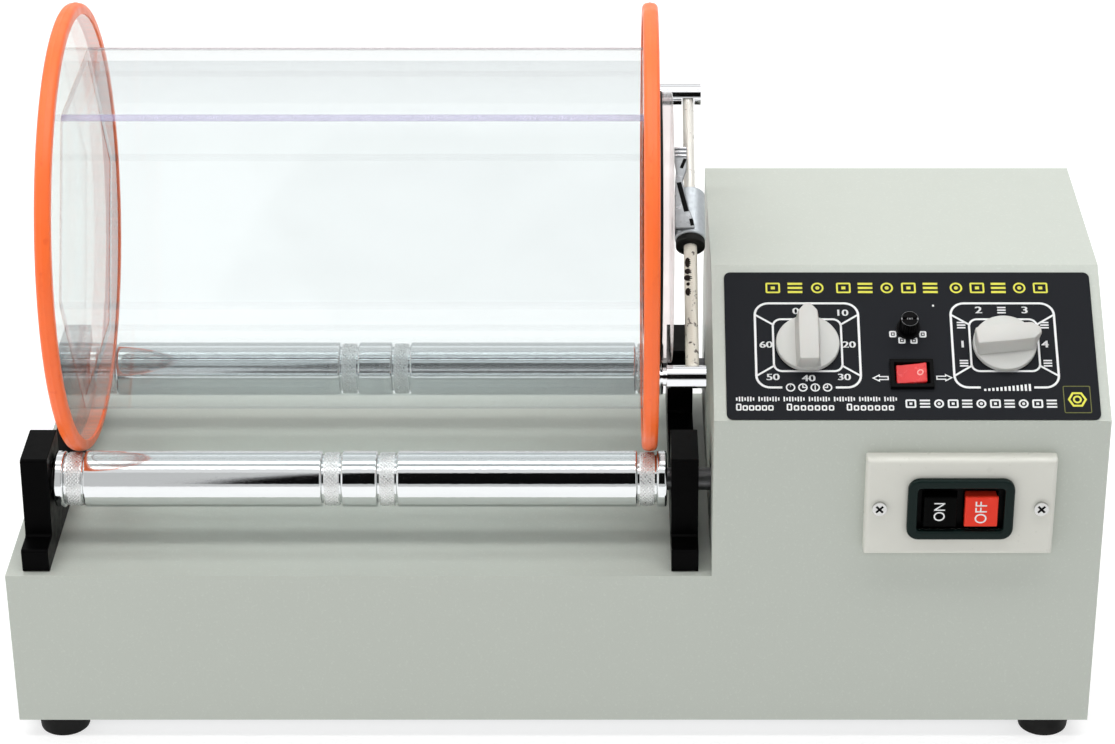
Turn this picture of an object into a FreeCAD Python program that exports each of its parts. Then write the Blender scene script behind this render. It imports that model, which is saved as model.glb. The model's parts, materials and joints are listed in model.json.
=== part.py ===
"""Rotary rock tumbler: a clear barrel with rubber tyres, turned by two rollers beside a control housing.

Frame: millimetres, +Z up, origin on the floor under the centre of the case, +X towards the control housing,
+Y towards the back. The barrel's axis is parallel to X and lies in the plane Y = 0.
"""
import FreeCAD, Part
import math
import os

import Sketcher
from FreeCAD import Placement, Rotation, Vector

doc = FreeCAD.newDocument("rock_tumbler")
dim = doc.addObject("Spreadsheet::Sheet", "dim")

SIZES = {
    # case
    "case_length": 480.0, "case_depth": 175.0, "case_wall": 1.2, "foot_height": 10.0,
    "deck_top": 84.9, "housing_left": 70.0, "front_top": 161.8, "slant_run": 67.6, "slant_rise": 42.1,
    "foot_radius": 12.1, "foot_inset_x": 18.3, "foot_inset_y": 12.7,
    "back_open_x": 12.0, "back_open_low": 32.0, "back_open_high": 188.0, "cover_margin": 5.0,
    "cover_sheet": 1.0,
    "gland_x": 40.0, "gland_z": 38.0, "gland_radius": 8.0, "gland_bore": 3.6,
    # rollers and brackets
    "roller_y": 54.2, "roller_z": 115.3, "roller_radius": 12.5, "band_radius": 12.0, "band_width": 8.4,
    "roller_start": -219.7, "roller_end": 50.6, "band_1": -211.1, "band_2": -97.4, "band_3": -72.9,
    "band_4": 41.8, "shaft_radius": 5.0, "shaft_start": -231.0, "shaft_end": 97.0, "running_gap": 0.05,
    "bracket_left": -232.8, "bracket_right": 52.4, "bracket_width": 11.9, "bracket_top": 132.1,
    "bracket_toe": 84.1, "toe_height": 10.9, "tower_foot": 71.0, "tower_front": 68.0, "tower_back": 38.5,
    "valley_height": 15.5, "bearing_radius": 9.5, "bearing_width": 7.0, "shaft_hole": 8.0,
    # drum
    "tyre_radius": 99.2, "tyre_width": 6.8, "tyre_lip": 94.2, "disc_radius": 95.2, "disc_sheet": 5.6,
    "disc_left": -209.8, "disc_right": 43.0, "rolling_gap": 0.3, "hex_radius": 80.4, "panel_sheet": 5.0,
    "glue_line": 0.03, "mouth_radius": 50.0, "lid_radius": 60.0, "lid_sheet": 4.8, "gasket_inner": 51.0,
    "gasket_sheet": 2.4, "pad_radius": 5.5, "pad_height": 0.8,
    # lid clamp
    "catch_reach": 74.5, "pivot_reach": 79.0, "clamp_angle": 30.0, "post_radius": 5.0, "post_end": 66.8,
    "rod_x": 61.0,
    "rod_radius": 3.0, "rod_tip_radius": 2.5, "rod_step": 19.5, "rod_tip": 78.5, "sleeve_radius": 6.8,
    "sleeve_low": -7.0, "sleeve_high": 18.0, "collar_height": 3.4, "lever_half_width": 3.2, "lever_tip": 44.0,
    # drive
    "pulley_groove": 17.0, "pulley_rim": 20.0, "drive_plane": 80.5, "transfer_plane": 90.0, "pulley_width": 8.0,
    "belt_width": 5.0, "belt_sheet": 2.6, "belt_gap": 0.3, "motor_groove": 6.4, "motor_rim": 9.4,
    "motor_y": 14.0, "motor_z": 56.0, "motor_radius": 33.0, "motor_start": 112.0, "motor_length": 92.0,
    "motor_shaft_radius": 4.0,
    # control panel, measured from the housing's left edge and up the slope
    "label_margin_left": 5.4, "label_margin_right": 4.4, "label_low": 0.4, "label_high": 75.2,
    "label_sheet": 0.8,
    "timer_x": 41.0, "speed_x": 126.3, "dial_rise": 37.6, "fuse_x": 85.0, "fuse_rise": 45.5,
    "rocker_x": 85.5, "rocker_rise": 22.6, "rocker_frame_x": 18.8, "rocker_frame_y": 14.4,
    "rocker_x_size": 14.2, "rocker_y_size": 9.6, "knob_radius": 13.9, "knob_face": 2.8,
    "knob_bar": 10.9, "knob_bar_width": 9.6, "knob_nose": 15.2,
    "spindle_radius": 3.0,
    # switch on the front
    "switch_x": 176.5, "switch_z": 123.1, "plate_length": 82.0, "plate_height": 46.8, "plate_proud": 7.0,
    "bezel_length": 46.0, "bezel_height": 29.2, "bezel_proud": 2.6, "button_size": 16.0, "button_gap": 1.7,
    "button_rest": 7.3, "button_drop": 0.7, "plate_screw_x": 34.9,
}
for row, (alias, number) in enumerate(SIZES.items(), 1):
    dim.set(f"A{row}", alias)
    dim.set(f"B{row}", str(number))
    dim.setAlias(f"B{row}", alias)
doc.recompute()


def value(text):
    """The number that an expression of sheet aliases stands for."""
    return float(dim.evalExpression(text))


# ---------------------------------------------------------------- helpers

sub_parts = []
ALONG_X = Rotation(Vector(0, 1, 0), 90)
ALONG_Y = Rotation(Vector(1, 0, 0), -90)
UPRIGHT = Rotation()
SLOPE = "atan2(dim.slant_rise; dim.slant_run)"
SLANT = "sqrt(dim.slant_run^2 + dim.slant_rise^2)"


def sub_part(item, label, place=None):
    """Name a finished piece and put it where it belongs."""
    item.Label = label
    if place is not None:
        item.Placement = place
    sub_parts.append(item)
    return item


def at(x, y, z, turn=UPRIGHT):
    return Placement(Vector(x, y, z), turn)


def bind(item, **texts):
    for name, text in texts.items():
        item.setExpression(name, text)
    return item


def new_body(name):
    return doc.addObject("PartDesign::Body", name)


def sketch_on(body, plane, name, lift="0", place=None):
    """An empty sketch on one of the body's origin planes, lifted along the plane's normal."""
    sketch = body.newObject("Sketcher::SketchObject", name)
    support = next(item for item in body.Origin.OriginFeatures if item.Role == plane)
    sketch.AttachmentSupport = [(support, "")]
    sketch.MapMode = "FlatFace"
    if place is not None:
        sketch.AttachmentOffset = place
    elif lift != "0":
        sketch.setExpression(".AttachmentOffset.Base.z", lift)
    return sketch


def pin_point(sketch, geometry, point, corner):
    """Fix one point of a sketch at a pair of expressions."""
    for kind, text in zip(("DistanceX", "DistanceY"), corner):
        rule = Sketcher.Constraint(kind, -1, 1, geometry, point, value(text))
        index = sketch.addConstraint(rule)
        sketch.setExpression(f"Constraints[{index}]", text)


def outline(sketch, corners):
    """A closed straight-sided outline through pairs of expressions."""
    first = sketch.GeometryCount
    points = [Vector(value(u), value(v), 0) for u, v in corners]
    count = len(points)
    for index, start in enumerate(points):
        sketch.addGeometry(Part.LineSegment(start, points[(index + 1) % count]), False)
    for index in range(count):
        follower = first + (index + 1) % count
        sketch.addConstraint(Sketcher.Constraint("Coincident", first + index, 2, follower, 1))
    for index, corner in enumerate(corners):
        pin_point(sketch, first + index, 1, corner)


def rectangle(sketch, low, high):
    outline(sketch, [(low[0], low[1]), (high[0], low[1]), (high[0], high[1]), (low[0], high[1])])


def centred_rectangle(sketch, centre, width, height):
    low = (f"{centre[0]} - ({width}) / 2", f"{centre[1]} - ({height}) / 2")
    high = (f"{centre[0]} + ({width}) / 2", f"{centre[1]} + ({height}) / 2")
    rectangle(sketch, low, high)


def circle(sketch, centre, radius):
    middle = Vector(value(centre[0]), value(centre[1]), 0)
    index = sketch.addGeometry(Part.Circle(middle, Vector(0, 0, 1), value(radius)), False)
    pin_point(sketch, index, 3, centre)
    rule = sketch.addConstraint(Sketcher.Constraint("Radius", index, value(radius)))
    sketch.setExpression(f"Constraints[{rule}]", radius)


def pad(body, sketch, length, side="One side", reverse=False):
    feature = body.newObject("PartDesign::Pad", f"{sketch.Name}_pad")
    feature.Profile = sketch
    feature.SideType = side
    feature.Reversed = reverse
    bind(feature, Length=length)
    doc.recompute()
    return feature


def pocket(body, sketch, length, side="Symmetric", reverse=False):
    """Cut a sketch out of the body, and make sure that it removed something."""
    before = body.Shape.Volume
    feature = body.newObject("PartDesign::Pocket", f"{sketch.Name}_pocket")
    feature.Profile = sketch
    feature.SideType = side
    feature.Reversed = reverse
    bind(feature, Length=length)
    doc.recompute()
    if body.Shape.Volume >= before:
        raise RuntimeError(f"{sketch.Name} cuts nothing")
    return feature


def revolve(body, sketch, axis="V_Axis"):
    feature = body.newObject("PartDesign::Revolution", f"{sketch.Name}_turned")
    feature.Profile = sketch
    feature.ReferenceAxis = (sketch, [axis])
    feature.Angle = 360
    doc.recompute()
    return feature


def soften(body, base, edges, radius, kind="Fillet"):
    """Fillet or chamfer the edges of the last feature that a test picks out."""
    names = [f"Edge{index}" for index, edge in enumerate(base.Shape.Edges, 1) if edges(edge)]
    feature = body.newObject(f"PartDesign::{kind}", f"{base.Name}_{kind.lower()}")
    feature.Base = (base, names)
    bind(feature, **{"Radius" if kind == "Fillet" else "Size": radius})
    doc.recompute()
    return feature


def runs_along(direction):
    """A test for straight edges parallel to a direction."""
    def test(edge):
        straight = isinstance(edge.Curve, Part.Line)
        return straight and abs(abs(edge.Curve.Direction.dot(direction)) - 1) < 1e-6
    return test


def turned(name, corners):
    """A round piece: an outline of (radius, height) pairs turned about its own Z axis."""
    body = new_body(name)
    sketch = sketch_on(body, "XZ_Plane", f"{name}_outline")
    outline(sketch, corners)
    revolve(body, sketch)
    return body


def ring_corners(inner, outer, low, high):
    return [(inner, low), (outer, low), (outer, high), (inner, high)]


def cylinder(name, radius, height, place):
    item = doc.addObject("Part::Cylinder", name)
    item.Placement = place
    return bind(item, Radius=radius, Height=height)


def block(name, length, width, height, place):
    item = doc.addObject("Part::Box", name)
    item.Placement = place
    return bind(item, Length=length, Width=width, Height=height)


def cut(name, base, tool):
    item = doc.addObject("Part::Cut", name)
    item.Base = base
    item.Tool = tool
    return item


def fuse(name, shapes):
    item = doc.addObject("Part::MultiFuse", name)
    item.Shapes = shapes
    return item


def group(name, pieces):
    item = doc.addObject("Part::Compound", name)
    item.Links = pieces
    return item


def screw(name, head_radius, head_height, shank_radius, shank_length, place):
    """A pan-head screw along its own Z axis, head up, with a cross recess in the head."""
    shank = cylinder(f"{name}_shank", shank_radius, shank_length, at(0, 0, -value(shank_length)))
    head = cylinder(f"{name}_head", head_radius, head_height, at(0, 0, 0))
    whole = fuse(f"{name}_whole", [head, shank])
    recess = []
    for turn in (45, 135):
        slot = block(f"{name}_slot_{turn}", f"({head_radius}) * 1.3", f"({head_radius}) * 0.3",
                     f"({head_height}) * 0.6", at(0, 0, 0))
        middle = Placement(Vector(0, 0, value(head_height) * 0.5), Rotation(Vector(0, 0, 1), turn))
        shift = Vector(-value(head_radius) * 0.65, -value(head_radius) * 0.15, 0)
        slot.Placement = middle.multiply(Placement(shift, UPRIGHT))
        recess.append(slot)
    cross = fuse(f"{name}_cross", recess)
    item = cut(name, whole, cross)
    item.Placement = place
    return item


def on_panel(across, rise, lift=0.0, turn=0.0):
    """A place on the slanted panel: local Z is the panel's outward normal, local Y points up the slope."""
    slope = math.radians(value(SLOPE))
    corner = Vector(value("dim.housing_left"), -value("dim.case_depth") / 2, value("dim.front_top"))
    up_slope = Vector(0, math.cos(slope), math.sin(slope))
    normal = Vector(0, -math.sin(slope), math.cos(slope))
    base = corner + Vector(value(across), 0, 0) + up_slope * value(rise) + normal * lift
    tilt = Rotation(Vector(1, 0, 0), math.degrees(slope))
    return Placement(base, tilt.multiply(Rotation(Vector(0, 0, 1), turn)))


def on_front(across, height, lift=0.0):
    """A place on the front face: local Z points out of the case, local Y is up."""
    base = Vector(value(across), -value("dim.case_depth") / 2 - lift, value(height))
    return Placement(base, Rotation(Vector(1, 0, 0), 90))


DRUM_Z = value("dim.roller_z") + math.sqrt(
    value("dim.tyre_radius + dim.band_radius + dim.rolling_gap") ** 2 - value("dim.roller_y") ** 2)


def on_drum(x):
    """A place on the drum's axis, local Z along +X and local X pointing down."""
    return at(x, 0, DRUM_Z, ALONG_X)


def on_clamp(x, along, turn=UPRIGHT):
    """A place on the clamp bar's line, which crosses the drum's axis at the clamp angle."""
    angle = math.radians(value("dim.clamp_angle"))
    base = Vector(x, along * math.cos(angle), DRUM_Z + along * math.sin(angle))
    return Placement(base, turn)


# Local Z along the clamp bar from the pivot to the catch, local X still along +X.
ALONG_CLAMP = Rotation(Vector(1, 0, 0), value("dim.clamp_angle") - 90)


# ---------------------------------------------------------------- case

def case_shell():
    """One welded sheet shell: low deck on the left, tall control housing on the right, open underneath."""
    body = new_body("case_shell")
    half_x = "dim.case_length / 2"
    half_y = "dim.case_depth / 2"
    wall = "dim.case_wall"
    top = "dim.front_top + dim.slant_rise"

    footprint = sketch_on(body, "XY_Plane", "case_footprint", "dim.foot_height")
    rectangle(footprint, (f"-{half_x}", f"-{half_y}"), (half_x, half_y))
    pad(body, footprint, "dim.deck_top - dim.foot_height")

    section = sketch_on(body, "YZ_Plane", "housing_section", "dim.housing_left")
    outline(section, [
        (f"-{half_y}", "dim.foot_height"), (half_y, "dim.foot_height"), (half_y, top),
        (f"-{half_y} + dim.slant_run", top), (f"-{half_y}", "dim.front_top")])
    pad(body, section, f"{half_x} - dim.housing_left")

    hollow = sketch_on(body, "XY_Plane", "base_hollow", "dim.foot_height")
    rectangle(hollow, (f"-{half_x} + {wall}", f"-{half_y} + {wall}"),
              (f"{half_x} - {wall}", f"{half_y} - {wall}"))
    pocket(body, hollow, f"dim.deck_top - dim.foot_height - {wall}", side="One side", reverse=True)

    bend_low = f"dim.front_top - {wall} * ({SLANT} - dim.slant_rise) / dim.slant_run"
    bend_high = f"-{half_y} + dim.slant_run + {wall} * ({SLANT} - dim.slant_run) / dim.slant_rise"
    inside = sketch_on(body, "YZ_Plane", "housing_hollow", f"dim.housing_left + {wall}")
    outline(inside, [
        (f"-{half_y} + {wall}", "dim.foot_height"), (f"{half_y} - {wall}", "dim.foot_height"),
        (f"{half_y} - {wall}", f"{top} - {wall}"), (bend_high, f"{top} - {wall}"),
        (f"-{half_y} + {wall}", bend_low)])
    pocket(body, inside, f"{half_x} - dim.housing_left - 2 * {wall}", side="One side", reverse=True)

    shaft_holes = sketch_on(body, "YZ_Plane", "shaft_holes", f"dim.housing_left + {wall} / 2")
    for side in ("-", ""):
        circle(shaft_holes, (f"{side}dim.roller_y", "dim.roller_z"), "dim.shaft_hole")
    pocket(body, shaft_holes, f"4 * {wall}")

    controls = sketch_on(body, "XY_Plane", "control_holes", place=on_panel("0", "0"))
    for across in ("dim.timer_x", "dim.speed_x"):
        circle(controls, (across, "dim.dial_rise"), "4.5")
    circle(controls, ("dim.fuse_x", "dim.fuse_rise"), "4.6")
    centred_rectangle(controls, ("dim.rocker_x", "dim.rocker_rise"), "dim.rocker_frame_x - 2",
                      "dim.rocker_frame_y - 2")
    pocket(body, controls, f"4 * {wall}")

    switch_hole = sketch_on(body, "XZ_Plane", "switch_hole", f"{half_y}")
    centred_rectangle(switch_hole, ("dim.switch_x", "dim.switch_z"),
                      "dim.bezel_length - 5", "dim.bezel_height - 5")
    for side in ("-", "+"):
        circle(switch_hole, (f"dim.switch_x {side} dim.plate_screw_x", "dim.switch_z"), "1.95")
    pocket(body, switch_hole, f"4 * {wall}")

    back_hole = sketch_on(body, "XZ_Plane", "back_hole", f"-{half_y}")
    rectangle(back_hole, ("dim.housing_left + dim.back_open_x", "dim.back_open_low"),
              (f"{half_x} - dim.back_open_x", "dim.back_open_high"))
    circle(back_hole, ("dim.gland_x", "dim.gland_z"), "dim.gland_radius - 2")
    for centre in COVER_SCREWS:
        circle(back_hole, centre, "1.45")
    pocket(body, back_hole, f"4 * {wall}")

    bolts = sketch_on(body, "XY_Plane", "bracket_bolt_holes", "dim.deck_top")
    for left in ("dim.bracket_left", "dim.bracket_right"):
        for side in ("-", ""):
            circle(bolts, (f"{left} + dim.bracket_width / 2", f"{side}dim.roller_y"), "2.7")
    pocket(body, bolts, f"4 * {wall}")
    sub_part(body, "case_shell")


FOOT_PLACES = [(sx * (value("dim.case_length / 2 - dim.foot_inset_x")),
                sy * (value("dim.case_depth / 2 - dim.foot_inset_y"))) for sx in (-1, 1) for sy in (-1, 1)]


MOTOR_SCREWS = [(f"dim.motor_start + {along}", f"dim.motor_y + {side}")
                for along in (32, 58) for side in (-37, 37)]


def bottom_plate():
    """The sheet that closes the base, let in between the walls."""
    body = new_body("bottom_plate")
    inset = "(dim.case_wall + 0.2)"
    sheet = sketch_on(body, "XY_Plane", "bottom_sheet", "dim.foot_height")
    rectangle(sheet, (f"-dim.case_length / 2 + {inset}", f"-dim.case_depth / 2 + {inset}"),
              (f"dim.case_length / 2 - {inset}", f"dim.case_depth / 2 - {inset}"))
    for sx in ("-", ""):
        for sy in ("-", ""):
            circle(sheet, (f"{sx}(dim.case_length / 2 - dim.foot_inset_x)",
                           f"{sy}(dim.case_depth / 2 - dim.foot_inset_y)"), "2.2")
    for centre in MOTOR_SCREWS:
        circle(sheet, centre, "2")
    pad(body, sheet, "1.0")
    vents = sketch_on(body, "XY_Plane", "bottom_vent", "dim.foot_height")
    centred_rectangle(vents, ("120", "-46"), "4", "40")
    slot = pocket(body, vents, "6")
    row = body.newObject("PartDesign::LinearPattern", "bottom_vent_row")
    row.Originals = [slot]
    row.Direction = (vents, ["H_Axis"])
    row.Length = 90
    row.Occurrences = 10
    body.Tip = row
    doc.recompute()
    sub_part(body, "bottom_plate")


def feet():
    """Four rubber feet, each with a counterbore that hides its screw, and the four screws."""
    rubber = []
    screws = []
    for number, (x, y) in enumerate(FOOT_PLACES, 1):
        cone = doc.addObject("Part::Cone", f"foot_cone_{number}")
        bind(cone, Radius1="dim.foot_radius - 1.2", Radius2="dim.foot_radius", Height="dim.foot_height")
        bore = fuse(f"foot_bores_{number}", [
            cylinder(f"foot_hole_{number}", "2.2", "dim.foot_height", at(0, 0, 0)),
            cylinder(f"foot_recess_{number}", "4.6", "dim.foot_height / 2", at(0, 0, 0))])
        foot = cut(f"foot_{number}", cone, bore)
        foot.Placement = at(x, y, 0)
        rubber.append(foot)
        upside_down = Rotation(Vector(1, 0, 0), 180)
        screws.append(screw(f"foot_screw_{number}", "4", "2.4", "2.1", "11", at(x, y, 5, upside_down)))
    sub_part(group("feet", rubber), "feet")
    sub_part(group("foot_screws", screws), "foot_screws")


COVER_LOW = ("dim.housing_left + dim.back_open_x - dim.cover_margin", "dim.back_open_low - dim.cover_margin")
COVER_HIGH = ("dim.case_length / 2 - dim.back_open_x + dim.cover_margin",
              "dim.back_open_high + dim.cover_margin")
COVER_SCREWS = [(x, z) for x in (f"{COVER_LOW[0]} + 2.6", "(dim.housing_left + dim.case_length / 2) / 2",
                                 f"{COVER_HIGH[0]} - 2.6")
                for z in (f"{COVER_LOW[1]} + 2.6", f"{COVER_HIGH[1]} - 2.6")]


def rear_cover():
    """A flat cover screwed over the housing's open back, with a bank of vent slots."""
    body = new_body("rear_cover")
    sheet = sketch_on(body, "XZ_Plane", "cover_sheet", "-dim.case_depth / 2")
    rectangle(sheet, COVER_LOW, COVER_HIGH)
    for centre in COVER_SCREWS:
        circle(sheet, centre, "1.45")
    pad(body, sheet, "dim.cover_sheet", reverse=True)
    slots = sketch_on(body, "XZ_Plane", "cover_vent", "-dim.case_depth / 2")
    centred_rectangle(slots, ("dim.housing_left + 45", "120"), "46", "3")
    first = pocket(body, slots, "8")
    bank = body.newObject("PartDesign::MultiTransform", "cover_vent_bank")
    bank.Originals = [first]
    column = body.newObject("PartDesign::LinearPattern", "cover_vent_column")
    column.Direction = (slots, ["V_Axis"])
    column.Length = 49
    column.Occurrences = 8
    pair = body.newObject("PartDesign::LinearPattern", "cover_vent_pair")
    pair.Direction = (slots, ["H_Axis"])
    pair.Length = 80
    pair.Occurrences = 2
    bank.Transformations = [column, pair]
    body.Tip = bank
    doc.recompute()
    sub_part(body, "rear_cover")

    screws = []
    for across, height in COVER_SCREWS:
        place = at(value(across), value("dim.case_depth / 2 + dim.cover_sheet"), value(height), ALONG_Y)
        screws.append(screw(f"cover_screw_{len(screws) + 1}", "2.4", "1.6", "1.4", "5", place))
    sub_part(group("cover_screws", screws), "cover_screws")


def cord_gland():
    """A flanged rubber gland in the back wall with a clear bore for a mains cord."""
    corners = [("dim.gland_bore", "-4"), ("dim.gland_radius - 2.05", "-4"), ("dim.gland_radius - 2.05", "0"),
               ("dim.gland_radius", "0"), ("dim.gland_radius", "2.5"), ("dim.gland_radius - 2", "4"),
               ("dim.gland_radius - 2.5", "11"), ("dim.gland_bore", "11")]
    place = at(value("dim.gland_x"), value("dim.case_depth / 2"), value("dim.gland_z"), ALONG_Y)
    sub_part(turned("cord_gland", corners), "cord_gland", place)


# ---------------------------------------------------------------- brackets and rollers

def bracket(name, left):
    """A thick plate on edge: a toe at each end, and a tower with a bearing seat over each roller."""
    body = new_body(name)
    deck = "dim.deck_top"
    half = [("dim.bracket_toe", deck), ("dim.bracket_toe", f"{deck} + dim.toe_height"),
            ("dim.tower_foot", f"{deck} + dim.toe_height"), ("dim.tower_front", "dim.bracket_top"),
            ("dim.tower_back", "dim.bracket_top"), ("dim.tower_back", f"{deck} + dim.valley_height")]
    front = [(f"-{y}", z) for y, z in half]
    profile = sketch_on(body, "YZ_Plane", f"{name}_profile", left)
    outline(profile, front + half[::-1])
    for side in ("-", ""):
        circle(profile, (f"{side}dim.roller_y", "dim.roller_z"), "dim.bearing_radius")
    plate = pad(body, profile, "dim.bracket_width")
    soften(body, plate, runs_along(Vector(1, 0, 0)), "0.8", "Chamfer")
    bolts = sketch_on(body, "XY_Plane", f"{name}_bolt_holes", deck)
    for side in ("-", ""):
        circle(bolts, (f"{left} + dim.bracket_width / 2", f"{side}dim.roller_y"), "2.5")
    pocket(body, bolts, "12", side="One side", reverse=True)
    sub_part(body, name)


def bearings(name, x):
    """A pair of ball bearings with a shield groove, pressed into the bracket's two towers."""
    half = "dim.bearing_width / 2"
    inner = "(dim.shaft_radius + dim.running_gap)"
    corners = [(inner, f"-{half}"), (f"{inner} + 1.3", f"-{half}"), (f"{inner} + 1.3", f"-{half} + 0.5"),
               ("dim.bearing_radius - 1.4", f"-{half} + 0.5"), ("dim.bearing_radius - 1.4", f"-{half}"),
               ("dim.bearing_radius", f"-{half}"), ("dim.bearing_radius", half),
               ("dim.bearing_radius - 1.4", half), ("dim.bearing_radius - 1.4", f"{half} - 0.5"),
               (f"{inner} + 1.3", f"{half} - 0.5"), (f"{inner} + 1.3", half), (inner, half)]
    pair = []
    for side in (-1, 1):
        ring = turned(f"{name}_ring_{len(pair) + 1}", corners)
        ring.Placement = at(x, side * value("dim.roller_y"), value("dim.roller_z"), ALONG_X)
        pair.append(ring)
    sub_part(group(name, pair), name)


def bracket_screws():
    """Four screws that hold the brackets down, put in from under the deck."""
    screws = []
    for left in ("dim.bracket_left", "dim.bracket_right"):
        for side in (-1, 1):
            place = at(value(f"{left} + dim.bracket_width / 2"), side * value("dim.roller_y"),
                       value("dim.deck_top - dim.case_wall"), Rotation(Vector(1, 0, 0), 180))
            screws.append(screw(f"bracket_screw_{len(screws) + 1}", "4.4", "3", "2.45", "12", place))
    sub_part(group("bracket_screws", screws), "bracket_screws")


def roller_tube(name, side):
    """The chromed tube with four shallow bands that the tyres run in."""
    half_band = "dim.band_width / 2"
    corners = [("dim.shaft_radius", "dim.roller_start"), ("dim.roller_radius - 1", "dim.roller_start"),
               ("dim.roller_radius", "dim.roller_start + 1")]
    for number in range(1, 5):
        middle = f"dim.band_{number}"
        corners += [("dim.roller_radius", f"{middle} - {half_band} - 0.5"),
                    ("dim.band_radius", f"{middle} - {half_band}"),
                    ("dim.band_radius", f"{middle} + {half_band}"),
                    ("dim.roller_radius", f"{middle} + {half_band} + 0.5")]
    corners += [("dim.roller_radius", "dim.roller_end - 1"), ("dim.roller_radius - 1", "dim.roller_end"),
                ("dim.shaft_radius", "dim.roller_end")]
    place = at(0, side * value("dim.roller_y"), value("dim.roller_z"), ALONG_X)
    sub_part(turned(name, corners), name, place)


def roller_shaft(name, side):
    """The steel shaft through a roller, running from the left bracket to the pulleys in the housing."""
    groove = "dim.shaft_end - 3"
    tip = "dim.shaft_radius - 0.6"
    corners = [("0", "dim.shaft_start"), (tip, "dim.shaft_start"),
               ("dim.shaft_radius", "dim.shaft_start + 0.6"),
               ("dim.shaft_radius", f"{groove} - 1"), (tip, f"{groove} - 1"), (tip, groove),
               ("dim.shaft_radius", groove), ("dim.shaft_radius", "dim.shaft_end - 0.6"),
               (tip, "dim.shaft_end"), ("0", "dim.shaft_end")]
    place = at(0, side * value("dim.roller_y"), value("dim.roller_z"), ALONG_X)
    sub_part(turned(name, corners), name, place)


def grooved_rim(plane, groove, rim):
    """Corners of one belt groove, from its left rim to its right rim."""
    half = "dim.pulley_width / 2"
    flat = "(dim.belt_width / 2 + 0.4)"
    return [(rim, f"{plane} - {half}"), (rim, f"{plane} - {flat} - 0.4"), (groove, f"{plane} - {flat}"),
            (groove, f"{plane} + {flat}"), (rim, f"{plane} + {flat} + 0.4"), (rim, f"{plane} + {half}")]


def pulleys():
    """The front roller's double pulley, the rear roller's pulley and the motor's small pulley."""
    groove, rim = "dim.pulley_groove", "dim.pulley_rim"
    drive, transfer = "dim.drive_plane", "dim.transfer_plane"
    bore, half = "dim.shaft_radius", "dim.pulley_width / 2"
    hub = "dim.shaft_radius + 4"
    both = ([(bore, f"{drive} - {half}")] + grooved_rim(drive, groove, rim)
            + [(hub, f"{drive} + {half}"), (hub, f"{transfer} - {half}")]
            + grooved_rim(transfer, groove, rim) + [(bore, f"{transfer} + {half}")])
    front_place = at(0, -value("dim.roller_y"), value("dim.roller_z"), ALONG_X)
    sub_part(turned("front_roller_pulley", both), "front_roller_pulley", front_place)
    one = ([(bore, f"{transfer} - {half} - 6"), (hub, f"{transfer} - {half} - 6"),
            (hub, f"{transfer} - {half}")]
           + grooved_rim(transfer, groove, rim) + [(bore, f"{transfer} + {half}")])
    rear_place = at(0, value("dim.roller_y"), value("dim.roller_z"), ALONG_X)
    sub_part(turned("rear_roller_pulley", one), "rear_roller_pulley", rear_place)
    small = ([("dim.motor_shaft_radius", f"{drive} - {half}")]
             + grooved_rim(drive, "dim.motor_groove", "dim.motor_rim")
             + [("7.5", f"{drive} + {half}"), ("7.5", f"{drive} + {half} + 7"),
                ("dim.motor_shaft_radius", f"{drive} + {half} + 7")])
    sub_part(turned("motor_pulley", small), "motor_pulley", MOTOR_AXIS)


def belt(name, plane, first, second):
    """A flat belt stretched round two pulleys; each is (y, z, groove radius)."""
    def loop(extra):
        (y1, z1, r1), (y2, z2, r2) = first, second
        r1, r2 = r1 + extra, r2 + extra
        span = math.hypot(y2 - y1, z2 - z1)
        heading = math.atan2(z2 - z1, y2 - y1)
        spread = math.acos((r1 - r2) / span)

        def rim(centre, radius, angle):
            return Vector(0, centre[0] + radius * math.cos(angle), centre[1] + radius * math.sin(angle))

        left, right = heading + spread, heading - spread
        back = heading + math.pi
        arc_1 = Part.Arc(rim(first, r1, left), rim(first, r1, back), rim(first, r1, right))
        arc_2 = Part.Arc(rim(second, r2, right), rim(second, r2, heading), rim(second, r2, left))
        side_1 = Part.LineSegment(rim(first, r1, right), rim(second, r2, right))
        side_2 = Part.LineSegment(rim(second, r2, left), rim(first, r1, left))
        return Part.Wire([piece.toShape() for piece in (arc_1, side_1, arc_2, side_2)])

    width = value("dim.belt_width")
    gap = value("dim.belt_gap")
    sheet = value("dim.belt_sheet")
    outer = Part.Face(loop(gap + sheet)).extrude(Vector(width, 0, 0))
    inner = Part.Face(loop(gap)).extrude(Vector(width, 0, 0))
    item = doc.addObject("Part::Feature", name)
    item.Shape = outer.cut(inner)
    sub_part(item, name, at(plane - width / 2, 0, 0))


def belts():
    groove = value("dim.pulley_groove")
    roller_y, roller_z = value("dim.roller_y"), value("dim.roller_z")
    front, rear = (-roller_y, roller_z, groove), (roller_y, roller_z, groove)
    motor = (value("dim.motor_y"), value("dim.motor_z"), value("dim.motor_groove"))
    belt("drive_belt", value("dim.drive_plane"), motor, front)
    belt("transfer_belt", value("dim.transfer_plane"), front, rear)


# ---------------------------------------------------------------- motor and electrics

MOTOR_AXIS = at(0, value("dim.motor_y"), value("dim.motor_z"), ALONG_X)


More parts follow.
